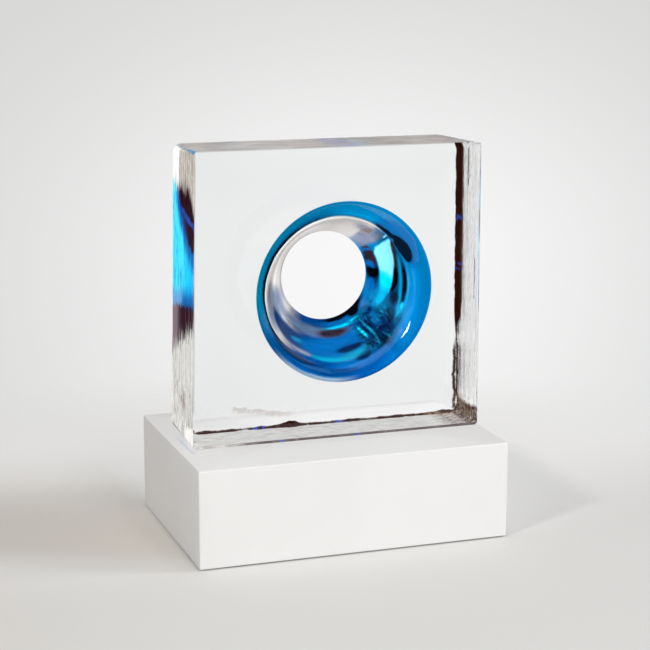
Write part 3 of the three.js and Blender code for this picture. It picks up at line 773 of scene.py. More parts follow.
class Sheet:
    """The node tree of a material or of the world."""

    def __init__(self, tree):
        self.tree = tree

    def node(self, kind, settings=None, inputs=None):
        """A new node: first its settings, then the values or links of its sockets."""
        node = self.tree.nodes.new("ShaderNode" + kind)
        for name, value in (settings or {}).items():
            setattr(node, name, value)
        for name, value in (inputs or {}).items():
            self.feed(node.inputs[name], value)
        return node

    def add(self, kind, settings=None, inputs=None, output=0):
        return Sock(self, self.node(kind, settings, inputs).outputs[output])

    def feed(self, socket, value):
        """Link the socket or set its value. A colour's three numbers get their alpha here."""
        if isinstance(value, Sock):
            self.tree.links.new(value.socket, socket)
        else:
            socket.default_value = (*value, 1.0) if socket.type == "RGBA" else value

    def mix(self, share, a, b):
        """A colour from a to b by a share."""
        inputs = {"Factor": share, "A": a, "B": b}
        return self.add("Mix", {"data_type": "RGBA"}, inputs, "Result")

    def fill(self, shader, **values):
        """Feed each value or link to the shader's socket of that name."""
        for socket, value in values.items():
            self.feed(shader.inputs[socket.replace("_", " ")], value)
        return Sock(self, shader.outputs["BSDF"])

    def principled(self, **values):
        """A shader for one more layer."""
        return self.fill(self.node("BsdfPrincipled"), **values)

    def layer(self, share, under, over):
        """One shader laid over another by a share."""
        return self.add("MixShader", inputs={0: share, 1: under, 2: over})

    def show(self, shader):
        """Make the shader the material's surface."""
        self.feed(self.tree.nodes["Material Output"].inputs["Surface"], shader)

    def parts(self, vector):
        """A vector's three numbers."""
        node = self.node("SeparateXYZ", inputs={0: vector})
        return [Sock(self, node.outputs[axis]) for axis in "XYZ"]

    def place(self):
        """Object coordinates as a vector and as its three numbers."""
        whole = self.add("TexCoord", output="Object")
        return whole, self.parts(whole)

    def ray(self, kind):
        """1 for a ray of this kind and 0 for any other."""
        return self.add("LightPath", output=f"Is {kind} Ray")

    def attribute(self, name, output="Fac"):
        return self.add("Attribute", {"attribute_name": name}, output=output)

    def facing(self, direction, way):
        """The cosine of the angle between a direction and a fixed way."""
        return self.add("VectorMath", {"operation": "DOT_PRODUCT"}, {0: direction, 1: way}, "Value")

    def noise(self, vector, scale, detail=3.0, roughness=0.5):
        """Noise with one scale, or with a scale of its own along each axis."""
        if isinstance(scale, tuple):
            vector, scale = self.stretched(vector, scale), 1.0
        inputs = {"Vector": vector, "Scale": scale, "Detail": detail, "Roughness": roughness}
        return self.add("TexNoise", inputs=inputs)

    def scaled(self, vector, factor):
        """The vector times a number."""
        return self.add("VectorMath", {"operation": "SCALE"}, {0: vector, "Scale": factor})

    def noise_vector(self, vector, scale, reach=0.001):
        """A small push, of a millimetre at most, that differs from place to place."""
        inputs = {"Vector": vector, "Scale": scale, "Detail": 2.0}
        return self.scaled(self.add("TexNoise", inputs=inputs, output="Color"), reach)

    def stretched(self, vector, scale):
        """The vector with each of its parts multiplied by its own number."""
        return self.add("VectorMath", {"operation": "MULTIPLY"}, {0: vector, 1: scale})

    def bump(self, height, reach, strength=1.0):
        inputs = {"Height": height, "Distance": reach, "Strength": strength}
        return self.add("Bump", inputs=inputs)


# %% Finish
def finish(name, **plain):
    """A material, its sheet and its shader. Plain values go straight to the shader's own sockets."""
    material = bpy.data.materials.new(name)
    material.use_nodes = True
    sheet, shader = Sheet(material.node_tree), material.node_tree.nodes["Principled BSDF"]
    sheet.fill(shader, **plain)
    return material, sheet, shader


def dress(piece, material):
    piece.data.materials.clear()
    piece.data.materials.append(material)


# %% [markdown]
# ## Clear glass
#
# The front, the back and the funnel are polished. The mould skin is nearly as smooth, with fine streaks
# that run the way the flutes do. The foot is ground, so it scatters the light and looks pale grey, and the
# top has a soft haze with a painted lavender highlight over the funnel. The left wall gathers the light that
# the funnel's blue has coloured, between two dark reflections with ragged ends, and above and below them it
# shows the room in pale and brown streaks. A renderer that doesn't follow gathered light can't find that by
# itself, so all of it is painted on the wall as a thin matt layer that glows a little. A Mix Shader lays such
# a layer over the glass.
#
# Dark residue of the mould and the grinder stays in the lower right corner, a dark ragged line runs along the
# rough back edge of the foot, and the right wall has a few scratches. Along the foot's front edge lies a thin
# painted contact shadow, and in the bevel at the right a painted dark reflection stands in for the dark room
# that the bevel turns back. All of it is one more layer, and masks made of heights, depths and noise say
# where it lies. In the bevel the painted reflection is wide in the upper half and crumbles towards the foot.
# The camera sees it through the front, doubled by the glass, as the dark band along the block's right side.

# %% Places on the block
GLASS_INDEX = 1.5
LEFT, RIGHT = float(glass_low[0]), float(glass_high[0])
FRONT, BACK = float(front_y), float(back_y)
FOOT, TOP = float(glass_low[2]), float(glass_high[2])
# The streaks fade in between these two distances from the funnel's middle.
FUNNEL_CLEAR = (0.075, 0.078)


class Places:
    """Where a point of the block lies, as numbers that the materials share. Lengths are in metres."""

    def __init__(self, sheet):
        self.whole, (x, y, z) = sheet.place()
        self.x, self.z = x, z
        self.depth = y - FRONT
        self.height = z - FOOT
        self.to_back = (y - BACK) * -1
        self.behind_front = self.depth.ramp(0.0012, 0.0022)
        self.left = x.ramp(LEFT + 0.004, LEFT + 0.0025) * self.behind_front
        self.right = x.ramp(RIGHT - 0.0050, RIGHT - 0.0035) * self.behind_front
        self.top = z.ramp(TOP - 0.0026, TOP - 0.0014) * self.behind_front
        self.foot = self.height.ramp(0.0022, 0.0012)
        across = x - float(mouth_middle[0])
        upward = z - float(mouth_middle[1])
        beyond_funnel = (across * across + upward * upward).ramp(*(radius**2 for radius in FUNNEL_CLEAR))
        self.skin = beyond_funnel * self.behind_front * self.to_back.ramp(0.0002, 0.0008)
        self.streaks = sheet.noise(self.whole, (20.0, 520.0, 26.0), 3.0, 0.65)
        self.grain = sheet.noise(self.whole, 260.0, 3.0, 0.6)


# %% Left wall
# Painted light on the left wall: the room seen through the glass, the lining's blue and dark reflections.
WALL_WHITE, WALL_PALE, WALL_GREY = (0.83, 0.82, 0.81), (0.60, 0.60, 0.58), (0.37, 0.37, 0.355)
WALL_BEIGE, WALL_BROWN = (0.47, 0.44, 0.40), (0.17, 0.12, 0.095)
WALL_CYAN, WALL_AZURE, WALL_BLUE = (0.07, 0.78, 0.96), (0.004, 0.50, 0.92), (0.003, 0.11, 0.38)
WALL_DUSK, WALL_MAUVE, WALL_DARK = (0.12, 0.31, 0.62), (0.19, 0.14, 0.175), (0.018, 0.002, 0.006)
WALL_PURPLE, WALL_VEIN = (0.06, 0.045, 0.11), (0.010, 0.060, 0.34)
# Heights on the wall: at its front, with the rise to its back, and the patch's top at both ends
SHADE_FOOT, SHADE_FOOT_RISE = 0.082, -0.026
SHADE_TOP, SHADE_TOP_RISE = 0.0943, -0.0086
PATCH_FOOT, PATCH_FOOT_RISE = 0.128, 0.060
VEIN_HEIGHT, VEIN_RISE = 0.1454, 0.0152
PATCH_TOP_FRONT, PATCH_TOP_BACK = 0.156, 0.1705


def wall_foot(sheet, at, back, strands, blotch):
    """The left wall's lower part, all painted light: pale strands on grey, white blotches, brown patches and
    a purple line.
    """
    colour = sheet.mix(strands.ramp(0.40, 0.54), WALL_GREY, WALL_PALE)
    colour = sheet.mix(blotch.ramp(0.56, 0.68) * 0.7, colour, WALL_WHITE)
    colour = sheet.mix(at.height.ramp(0.050, 0.030) * blotch.ramp(0.46, 0.36) * 0.5, colour, WALL_BROWN)
    brown_patch = abs(back - 0.50).ramp(0.20, 0.04) * abs(at.height - 0.029).ramp(0.012, 0.003)
    colour = sheet.mix(brown_patch * blotch.ramp(0.56, 0.44) * 0.6, colour, WALL_BROWN)
    bright = back.ramp(0.44, 0.30) * at.height.ramp(0.014, 0.010) * at.height.ramp(0.001, 0.003)
    colour = sheet.mix(bright * blotch.ramp(0.34, 0.46) * 0.85, colour, WALL_WHITE)
    purple = (at.height - back * 0.0055).ramp(0.0006, -0.0006) * back.ramp(0.42, 0.55)
    return sheet.mix(purple, colour, WALL_PURPLE)


def wall_top(sheet, back, strands, blotch, fine):
    """The upper part of the left wall, painted light: beige and brown strands that turn white towards the
    back.
    """
    colour = sheet.mix(strands.ramp(0.38, 0.50), WALL_BROWN, WALL_BEIGE)
    colour = sheet.mix(blotch.ramp(0.50, 0.62) * 0.6, colour, WALL_PALE)
    rear = (back + (fine - 0.5) * 0.4 + (blotch - 0.5) * 0.25).ramp(0.66, 0.74)
    return sheet.mix(rear, colour, WALL_WHITE)


def left_wall(sheet, at):
    """The painted light on the left wall: the room seen through the glass, the lining's blue light and two
    dark reflections. Its patches are bounded by heights that change from the front to the back, and the
    streaks of the skin fray them."""
    back = at.depth * (1 / float(GLASS_DEPTH))
    strands = sheet.noise(at.whole, (20.0, 640.0, 9.0), 3.0, 0.6)
    fine = sheet.noise(at.whole, (20.0, 900.0, 60.0), 4.0, 0.7)
    blotch = sheet.noise(sheet.stretched(at.whole, (1.0, 2.6, 1.0)), 130.0, 4.0, 0.65)
    fray = (strands - 0.5) * 0.050
    height = at.height + (at.grain - 0.5) * 0.004
    colour = wall_foot(sheet, at, back, strands, blotch)
    shade_foot = back * SHADE_FOOT_RISE + SHADE_FOOT
    shade_top = back * SHADE_TOP_RISE + SHADE_TOP
    shade = sheet.mix(back.ramp(0.84, 0.60), WALL_MAUVE, WALL_DARK)
    shade = sheet.mix(strands.ramp(0.52, 0.64) * 0.35, shade, WALL_MAUVE)
    colour = sheet.mix((height + fray - shade_foot).ramp(0.0, 0.002), colour, shade)
    dusk = sheet.mix(back.ramp(0.66, 0.46), WALL_DUSK, WALL_BLUE)
    above_shade = height + fray * 0.3 - shade_top
    colour = sheet.mix(above_shade.ramp(0.0, 0.003), colour, dusk)
    cyan = sheet.mix(back.ramp(0.70, 0.20), WALL_CYAN, WALL_AZURE)
    cyan = sheet.mix(strands.ramp(0.46, 0.60) * 0.75, cyan, WALL_AZURE)
    cyan = sheet.mix(fine.ramp(0.50, 0.62) * back.ramp(0.10, 0.80, 0.45, 0.95), cyan, WALL_BLUE)
    colour = sheet.mix(above_shade.ramp(0.004, 0.018), colour, cyan)
    front_streak = back.ramp(0.14, 0.04) * above_shade.ramp(0.002, 0.006) * fine.ramp(0.42, 0.55)
    colour = sheet.mix(front_streak * 0.8, colour, WALL_BROWN)
    patch_foot = back * back * PATCH_FOOT_RISE + PATCH_FOOT
    patch = (height + fray * 0.3 - patch_foot).ramp(0.0, 0.003) * (back + fray * 2.0).ramp(0.88, 0.80)
    ragged_blue = (height - patch_foot).ramp(0.012, 0.002)
    beneath = (height + fray * 0.5 - patch_foot + 0.015).ramp(0.0, 0.012) * back.ramp(0.88, 0.74)
    colour = sheet.mix(beneath, colour, WALL_BLUE)
    colour = sheet.mix(patch, colour, WALL_DARK)
    vein = abs(height - back * VEIN_RISE - VEIN_HEIGHT + (at.grain - 0.5) * 0.006)
    vein = vein.ramp(0.0034, 0.0012) * fine.ramp(0.40, 0.52, 0.35, 1.0)
    vein = vein.at_least(ragged_blue * back.ramp(0.25, 0.45) * 0.6)
    colour = sheet.mix(vein * patch, colour, WALL_VEIN)
    patch_top = back.ramp(0.0, 0.30, PATCH_TOP_FRONT, PATCH_TOP_BACK)
    above_patch = (height + fray - patch_top).ramp(-0.0015, 0.0015)
    return sheet.mix(above_patch, colour, wall_top(sheet, back, strands, blotch, fine))


# %% Residue and painted shade
# The first colour also darkens the painted reflection in the bevel, and the mauve one is the painted contact
# shadow along the foot's front edge.
DARK_RESIDUE_AND_REFLECTION, MAUVE_CONTACT_SHADOW, CORNER_RESIDUE = (0.030, 0.004, 0.001), (0.085, 0.055, 0.065), (0.26, 0.155, 0.105)
BLUE_GLINT, CORNER_DARK, TAIL_BROWN = (0.03, 0.10, 0.60), (0.050, 0.018, 0.010), (0.115, 0.045, 0.025)
WEDGE_X = (-0.036, -0.017, -0.009)
CHIPS_X, CHIPS_TOP = (-0.062, -0.036), 0.0175
GLINTS_X, SPOT_HEIGHTS = (-0.041, 0.0165), (0.1400, 0.1060)
# depth, lower end, upper end, width
SCRATCHES = [(0.0330, 0.162, 0.191, 0.0013), (0.0290, 0.168, 0.186, 0.0006), (0.0130, 0.086, 0.117, 0.0009)]


def residue_and_shade(sheet, at):
    """How much of the dark layer covers the glass: a ragged line along the foot's back edge with one thick
    wedge, residue in mottled patches in the lower right corner, a thin painted contact shadow along the
    foot's front edge, the painted dark reflection in the bevel, and a few scratches and chips."""
    along = sheet.noise(sheet.stretched(at.whole, (1.0, 0.0, 0.0)), 60.0, 6.0, 0.68)
    slow = sheet.noise(sheet.stretched(at.whole, (1.0, 0.0, 0.0)), 15.0, 2.0, 0.5)
    wedge = at.x.ramp(WEDGE_X[0], WEDGE_X[1]) * at.x.ramp(WEDGE_X[2], WEDGE_X[1])
    thick = along.ramp(0.35, 0.68) * 0.0011 + slow.ramp(0.48, 0.66) * 0.0008 + wedge * 0.0024 + 0.0010
    line = (at.to_back.at_least(at.height) - thick).ramp(0.0004, -0.0003)
    line = line * (along * 0.4 + slow * 0.6).ramp(0.36, 0.50, 0.72, 1.0).at_least(wedge.ramp(0.2, 0.5))
    mottle = sheet.noise(at.whole, 300.0, 4.0, 0.65)
    corner = at.right * at.to_back.ramp(0.0002, 0.0006) * at.height.ramp(0.0130, 0.0100)
    corner = corner * mottle.ramp(0.66, 0.52)
    # Painted contact shadow along the foot's front edge, where the block meets the plinth.
    front_contact_shadow = front_edge(at) * at.x.ramp(-0.080, -0.050) * along.ramp(0.34, 0.46) * 0.85
    foot_corner = at.foot * at.x.ramp(RIGHT - 0.024, RIGHT - 0.012) * mottle.ramp(0.60, 0.46)
    corner = corner.at_least(foot_corner * 0.8)
    dark = line.at_least(corner * 0.92).at_least(front_contact_shadow).at_least(bevel_reflection(sheet, at))
    return dark.at_least(scratches(at, mottle)).at_least(chips(at, mottle))


def scratches(at, mottle):
    """Thin dark lines on the right wall. Each lies at a depth, from one height to another."""
    total = at.right * 0.0
    for depth, low, high, width in SCRATCHES:
        across = abs(at.depth - depth + (mottle - 0.5) * 0.004).ramp(width * 1.4, width * 0.6)
        total = total.at_least(across * at.height.ramp(low, low + 0.003) * at.height.ramp(high, high - 0.003))
    return total * at.right * mottle.ramp(0.36, 0.46) * 0.9


def chips(at, mottle):
    """A faint chipped patch low on the back face."""
    beside = at.x.ramp(CHIPS_X[0], CHIPS_X[0] + 0.004) * at.x.ramp(CHIPS_X[1] + 0.03, CHIPS_X[1])
    slope = CHIPS_TOP - (at.x - CHIPS_X[0]) * 0.16
    upper = (slope - at.height + (mottle - 0.5) * 0.006).ramp(0.0, 0.0008)
    lower = (at.height - slope + 0.0062 + (mottle - 0.5) * 0.008).ramp(0.0, 0.005)
    return beside * upper * lower * at.to_back.ramp(0.0006, 0.0004) * 0.30


def front_edge(at):
    """The foot's front edge."""
    return at.depth.ramp(0.0014, 0.0010) * at.height.ramp(0.0022, 0.0017)


# %% Colour of the residue and painted shade
def residue_and_shade_colour(sheet, at):
    """Nearly black brown, mauve for the painted contact shadow along the foot's front edge, brown grey in the
    right corner and the chipped patch, a lighter brown at the front end of the bevel's painted reflection,
    and blue where the lining's light falls on it."""
    corner = at.right.at_least(at.x.ramp(RIGHT - 0.026, RIGHT - 0.022)) * at.height.ramp(0.016, 0.012)
    corner = corner * at.foot.at_least(at.right)
    chipped = at.height.ramp(0.007, 0.009) * at.to_back.ramp(0.0006, 0.0004) * at.x.ramp(0.08, 0.07)
    shards = sheet.noise(sheet.stretched(at.whole, (1.0, 1.0, 2.0)), 170.0, 3.0, 0.6).ramp(0.44, 0.56)
    grey_brown = sheet.mix(shards.at_least(1 - corner), CORNER_DARK, CORNER_RESIDUE)
    colour = sheet.mix(corner.at_least(chipped), DARK_RESIDUE_AND_REFLECTION, grey_brown)
    colour = sheet.mix(front_edge(at), colour, MAUVE_CONTACT_SHADOW)
    glints = abs(at.x - GLINTS_X[0]).ramp(0.008, 0.003).at_least(abs(at.x - GLINTS_X[1]).ramp(0.004, 0.001))
    glints = glints * at.grain.ramp(0.50, 0.58) * at.height.ramp(0.010, 0.005) * 0.85
    spots = abs(at.height - SPOT_HEIGHTS[0]).ramp(0.0030, 0.0010)
    spots = spots.at_least(abs(at.height - SPOT_HEIGHTS[1]).ramp(0.0040, 0.0010))
    tail = at.right * at.to_back.ramp(0.0070, 0.0112) * at.height.ramp(0.030, 0.050)
    colour = sheet.mix(tail, colour, TAIL_BROWN)
    return sheet.mix(glints.at_least(spots * at.grain.ramp(0.50, 0.56) * 0.7), colour, BLUE_GLINT)


# %% Painted reflection in the bevel
def bevel_reflection(sheet, at):
    """The painted dark reflection in the bevel where the mould was parted, which stands in for the dark room
    that the bevel turns back. It is as wide as the bevel in the upper half, its front end is frayed, and
    towards the foot it thins to a line of crumbs."""
    ragged = sheet.noise(at.whole, (0.0, 160.0, 70.0), 4.0, 0.65) - 0.5
    reach = at.height.ramp(0.052, 0.085, 0.0022, 0.0116)
    reach = reach + ragged * at.height.ramp(0.045, 0.085, 0.018, 0.0065)
    over = at.x.ramp(RIGHT - 0.0072, RIGHT - 0.0064) * at.behind_front
    reflection_band = (at.to_back - reach).ramp(0.0024, -0.0012) * over * at.height.ramp(0.003, 0.006)
    reflection_band = reflection_band * at.to_back.ramp(0.0001, 0.0004)
    crumbs = sheet.noise(at.whole, (0.0, 300.0, 170.0), 3.0, 0.6)
    crumbled = crumbs.ramp(0.50, 0.56) * at.to_back.ramp(0.0105, 0.0030) * over * at.height.ramp(0.010, 0.014)
    crumbled = crumbled * at.height.ramp(0.085, 0.050) * at.to_back.ramp(0.0001, 0.0004)
    beside = abs(at.x - RIGHT + 0.0015 + ragged * 0.006).ramp(0.0018, 0.0006) * crumbs.ramp(0.33, 0.43)
    beside = beside * at.height.ramp(0.002, 0.004) * at.height.ramp(0.056, 0.044)
    beside = beside * at.to_back.ramp(0.0022, 0.0014)
    crumbled = crumbled.at_least(beside)
    return (reflection_band * at.height.ramp(0.045, 0.062, 0.45, 0.998)).at_least(crumbled * 0.97)


# %% Clear glass
GROUND_GLASS, GROUND_DARK, GROUND_BROWN = (0.83, 0.83, 0.82), (0.60, 0.585, 0.57), (0.42, 0.37, 0.35)
CLEAR_TINT, TOP_TINT, TOP_DARK = (0.975, 0.985, 0.985), (0.95, 0.93, 0.92), (0.80, 0.76, 0.73)
TOP_HAZE, TOP_HAZE_DARK = (0.78, 0.75, 0.73), (0.58, 0.535, 0.515)
TOP_BLUE, TOP_LAVENDER_HIGHLIGHT = (0.02, 0.36, 0.75), (0.34, 0.38, 0.90)
WALL_SHARE, WALL_GLOW, FOOT_SHARE = 0.99, 0.60, 0.96
LAVENDER_X = 0.012
NO_LIGHT = (0, 0, 0)


def crossing(colour):
    """The base colour that tints light by a colour each time it crosses the surface once: its square."""
    return tuple(channel**2 for channel in colour)


def ground_tint(sheet, at):
    """The ground foot: pale grey, worn darker in patches, and brown along the front edge."""
    worn = sheet.noise(sheet.stretched(at.whole, (1.0, 3.5, 1.0)), 110.0, 5.0, 0.7)
    tint = sheet.mix(worn.ramp(0.46, 0.62), GROUND_GLASS, GROUND_DARK)
    brown = at.depth.ramp(0.0085, 0.0045) * worn.ramp(0.40, 0.56) * 0.6
    return sheet.mix(brown, tint, GROUND_BROWN)


def haze_tint(sheet, at, edge):
    """The top's haze: mottled, a painted lavender highlight over the funnel, and blue along the left edge."""
    patches = sheet.noise(sheet.stretched(at.whole, (1.0, 2.4, 1.0)), 42.0, 4.0, 0.6)
    mottled = (at.streaks * 0.5 + patches * 0.5).ramp(0.44, 0.54)
    tint = sheet.mix(mottled, TOP_HAZE_DARK, TOP_HAZE)
    # Painted highlight over the funnel, in lavender.
    lavender_highlight = abs(at.x - LAVENDER_X).ramp(0.013, 0.004) * patches.ramp(0.40, 0.52)
    tint = sheet.mix(lavender_highlight * 0.6, tint, TOP_LAVENDER_HIGHLIGHT)
    return sheet.mix(edge, tint, TOP_BLUE)


def clear_glass():
    """Clear glass with four layers over it: the ground foot, the hazy top, the left wall and the residue."""
    material, sheet, shader = finish("clear_glass", Transmission_Weight=1.0, IOR=GLASS_INDEX)
    at = Places(sheet)
    grit = sheet.noise(at.whole, 900.0, 2.0, 0.6)
    cloud = sheet.noise(sheet.stretched(at.whole, (1.0, 2.5, 1.0)), 26.0, 3.0, 0.5)
    height = at.streaks * at.skin * (1 - at.foot) + grit * at.foot
    top_tint = sheet.mix(cloud.ramp(0.35, 0.65), crossing(TOP_DARK), crossing(TOP_TINT))
    glass = sheet.fill(
        shader,
        Base_Color=sheet.mix(at.top, CLEAR_TINT, top_tint),
        Roughness=at.foot * 0.3 + at.top * (cloud * 0.25 + 0.06),
        Normal=sheet.bump(height, 0.00035),
    )
    ground = sheet.principled(Roughness=0.9, Base_Color=ground_tint(sheet, at))
    with_foot = sheet.layer(at.foot * FOOT_SHARE, glass, ground)
    edge = at.x.ramp(LEFT + 0.0028, LEFT + 0.0014) * at.z.ramp(TOP - 0.0022, TOP - 0.0012) * at.behind_front
    wall, is_top = left_wall(sheet, at), at.top.at_least(edge)
    haze = sheet.principled(
        Roughness=0.5,
        Specular_IOR_Level=0.05,
        Emission_Strength=WALL_GLOW,
        Base_Color=sheet.mix(is_top, wall, haze_tint(sheet, at, edge)),
        Emission_Color=sheet.mix(is_top, wall, NO_LIGHT),
    )
    share = (at.top * (cloud * 0.3 + 0.44)).at_least(at.left * WALL_SHARE * (1 - at.top)).at_least(edge * 0.9)
    with_haze = sheet.layer(share, with_foot, haze)
    dark = sheet.principled(Roughness=0.8, Specular_IOR_Level=0.05, Base_Color=residue_and_shade_colour(sheet, at))
    sheet.show(sheet.layer(residue_and_shade(sheet, at), with_haze, dark))
    return material


# %% [markdown]
# ## Blue glass
#
# The lining is glass that tints the light by its own attribute, so the marks worked out above colour
# whatever shows through it. Streaks along the cone, rings round it and a fine speckle vary the tint. Where
# the wall gathers light it glows: blue in the sail, and nearly white on the colourless side. The darkest
# marks, the painted dark reflection of the teardrop among them, let no light through, and a polished surface
# would lay a grey mirror image over them, so they are a matt layer. The lip beside the dark teardrop is satin
# for the same reason.

# %% Blue glass
SATIN_BLUE, MATT_INK = (0.0, 0.21, 0.62), (0.0008, 0.0015, 0.005)
SATIN_SHARE, INK_SHARE = 0.8, 0.94
GLOW_BLUE, GLOW_PALE, GLOW_COLOURLESS = (0.0, 0.74, 1.42), (0.30, 0.84, 1.35), (1.0, 0.97, 0.95)


def blue_glass():
    """Blue glass by the lining's own attributes, with a satin layer and a matt one over it."""
    material, sheet, shader = finish(
        "blue_glass", Transmission_Weight=1.0, IOR=GLASS_INDEX, Emission_Strength=1.0
    )
    tint, wall = (sheet.attribute(name, "Vector") for name in ("tint", "wall"))
    glow, ink, satin = (sheet.attribute(name) for name in ("glow", "ink", "satin"))
    streaks = sheet.noise(wall, (90.0, 90.0, 1.5), 3.0, 0.6)
    speckle = sheet.noise(wall, (60.0, 60.0, 60.0), 3.0, 0.7)
    rings = sheet.noise(wall, (2.2, 2.2, 42.0), 3.0, 0.6)
    depth, red = sheet.parts(wall)[2], sheet.parts(tint)[0]
    rings = rings.ramp(0.35, 0.62, 0.72, 1.0).at_least(depth.ramp(0.36, 0.20, 0.0, 0.96))
    shade = streaks.ramp(0.3, 0.7, 0.86, 1.0) * speckle.ramp(0.35, 0.65, 0.84, 1.0) * rings
    shade = shade.at_least(red.ramp(0.3, 0.8, 0.0, 0.90)).at_least(depth.ramp(0.36, 0.20, 0.0, 0.87))
    glow_colour = sheet.mix(red.ramp(0.02, 0.35), GLOW_BLUE, GLOW_PALE)
    glow_colour = sheet.mix(red.ramp(0.40, 0.75), glow_colour, GLOW_COLOURLESS)
    glass = sheet.fill(
        shader,
        Base_Color=sheet.scaled(tint, shade),
        Roughness=depth.ramp(0.1, 0.5, 0.02, 0.16),
        Emission_Color=sheet.mix(glow, NO_LIGHT, glow_colour),
    )
    soft_blue = sheet.principled(Base_Color=SATIN_BLUE, Roughness=0.6, Specular_IOR_Level=0.1)
    soft_ink = sheet.principled(Base_Color=MATT_INK, Roughness=0.6, Specular_IOR_Level=0.03)
    softened = sheet.layer(satin * SATIN_SHARE, glass, soft_blue)
    sheet.show(sheet.layer(ink * INK_SHARE, softened, soft_ink))
    return material


# %% [markdown]
# ## White lacquer
#
# The plinth was sprayed with a satin lacquer, so it has a soft orange peel and hardly any gloss. Where the
# block stands, and just behind it, the glass gathers light onto the board. That light shows through the
# glass alone, so it is given only to rays that have passed through glass. Beside the block's left front
# corner the gathered light of the lining falls on the open board as a faint blue streak, and that is a tint
# of the board.

# %% White lacquer
BOARD_BACK, BOARD_TOP = float(top_high[1]), float(top_high[2])
GATHERED, STREAK_BLUE = (0.33, 0.33, 0.335), (0.50, 0.56, 0.86)
LACQUER_DULL, LACQUER_BRIGHT = (0.87, 0.87, 0.865), (0.90, 0.90, 0.895)


def gathered_light(sheet):
    """The light that the block throws on the board under it and behind it, weaker towards the left."""
    _, (x, y, z) = sheet.place()
    across = x.ramp(LEFT - 0.003, LEFT + 0.09, 0.55, 1.0) * x.ramp(LEFT - 0.004, LEFT)
    across = across * x.ramp(RIGHT + 0.012, RIGHT + 0.002)
    along = y.ramp(FRONT, FRONT + 0.004) * y.ramp(BOARD_BACK, BOARD_BACK - 0.014, 0.6, 1.0)
    upper = z.ramp(BOARD_TOP - 0.0008, BOARD_TOP - 0.0004)
    share = across * along * upper * sheet.ray("Transmission")
    return sheet.mix(share, NO_LIGHT, GATHERED)


def blue_streak(sheet):
    """A faint, broken line of blue light that falls on the board beside the block's left front corner."""
    whole, (x, y, z) = sheet.place()
    breaks = sheet.noise(whole, 90.0, 3.0, 0.6)
    beside = abs(x - LEFT + 0.0050 + (breaks - 0.5) * 0.003).ramp(0.0016, 0.0004)
    ends = y.ramp(FRONT - 0.010, FRONT - 0.002) * y.ramp(FRONT + 0.044, FRONT + 0.020)
    return beside * ends * breaks.ramp(0.30, 0.45) * z.ramp(BOARD_TOP - 0.0004, BOARD_TOP - 0.0002)


def white_lacquer():
    """Satin lacquer: nearly even white, with a fine orange peel."""
    material, sheet, shader = finish("white_lacquer", Emission_Strength=1.0)
    whole, _ = sheet.place()
    cloud = sheet.noise(whole, 9.0, 4.0, 0.55)
    peel = sheet.noise(whole, 700.0, 2.0, 0.5)
    tint = sheet.mix(cloud.ramp(0.3, 0.7), LACQUER_DULL, LACQUER_BRIGHT)
    tint = sheet.mix(blue_streak(sheet) * 0.5, tint, STREAK_BLUE)
    bump, light = sheet.bump(peel, 0.00002, 0.6), gathered_light(sheet)
    sheet.fill(shader, Base_Color=tint, Roughness=cloud * 0.12 + 0.38, Normal=bump, Emission_Color=light)
    return material


# %% [markdown]
# ## What the plinth hides
#
# The nodes that the CAD model carries over keep their shapes and get their own finishes: a milky bond under
# the block, fibreboard, sawn pine, zinc-plated screws and pressed felt. A finish is a few layers of noise
# at the real scale, stretched along the grain where there is one.

# %% Bond and boards
BOND_DULL, BOND_BRIGHT = (0.86, 0.86, 0.855), (0.91, 0.91, 0.905)
BOARD_BROWN, BOARD_PALE = (0.24, 0.15, 0.085), (0.40, 0.27, 0.165)
PINE_BROWN, PINE_PALE, PINE_PORE = (0.42, 0.24, 0.10), (0.66, 0.46, 0.25), (0.26, 0.14, 0.06)
PINE_UPRIGHT, PINE_ALONG = (420.0, 420.0, 22.0), (420.0, 22.0, 420.0)


def milky_bond():
    """Cured silicone between ground glass and lacquer: pale, with small trapped bubbles."""
    material, sheet, shader = finish("clear_silicone", Specular_IOR_Level=0.3, Emission_Strength=0.9)
    whole, _ = sheet.place()
    bubbles = sheet.add("TexVoronoi", inputs={"Vector": whole, "Scale": 900.0}, output="Distance")
    haze = sheet.noise(whole, 140.0, 3.0, 0.5)
    tint = sheet.mix(haze.ramp(0.35, 0.65), BOND_DULL, BOND_BRIGHT)
    bump = sheet.bump(bubbles, 0.00005, 0.5)
    # Painted light: the pads glow with the light that the block gathers under it, for rays through glass
    # only.
    light = sheet.mix(sheet.ray("Transmission"), NO_LIGHT, GATHERED)
    sheet.fill(shader, Base_Color=tint, Roughness=haze * 0.2 + 0.25, Normal=bump, Emission_Color=light)
    return material


def fibreboard():
    """Medium-density fibreboard: brown, with short pale and dark fibres."""
    material, sheet, shader = finish("plain_board", Specular_IOR_Level=0.2)
    whole, _ = sheet.place()
    fibres = sheet.noise(whole, (500.0, 1400.0, 1400.0), 4.0, 0.6)
    cloud = sheet.noise(whole, 30.0, 3.0, 0.5)
    tint = sheet.mix((fibres * 0.7 + cloud * 0.3).ramp(0.38, 0.62), BOARD_BROWN, BOARD_PALE)
    sheet.fill(shader, Base_Color=tint, Roughness=fibres * 0.15 + 0.75, Normal=sheet.bump(fibres, 0.00006))
    return material


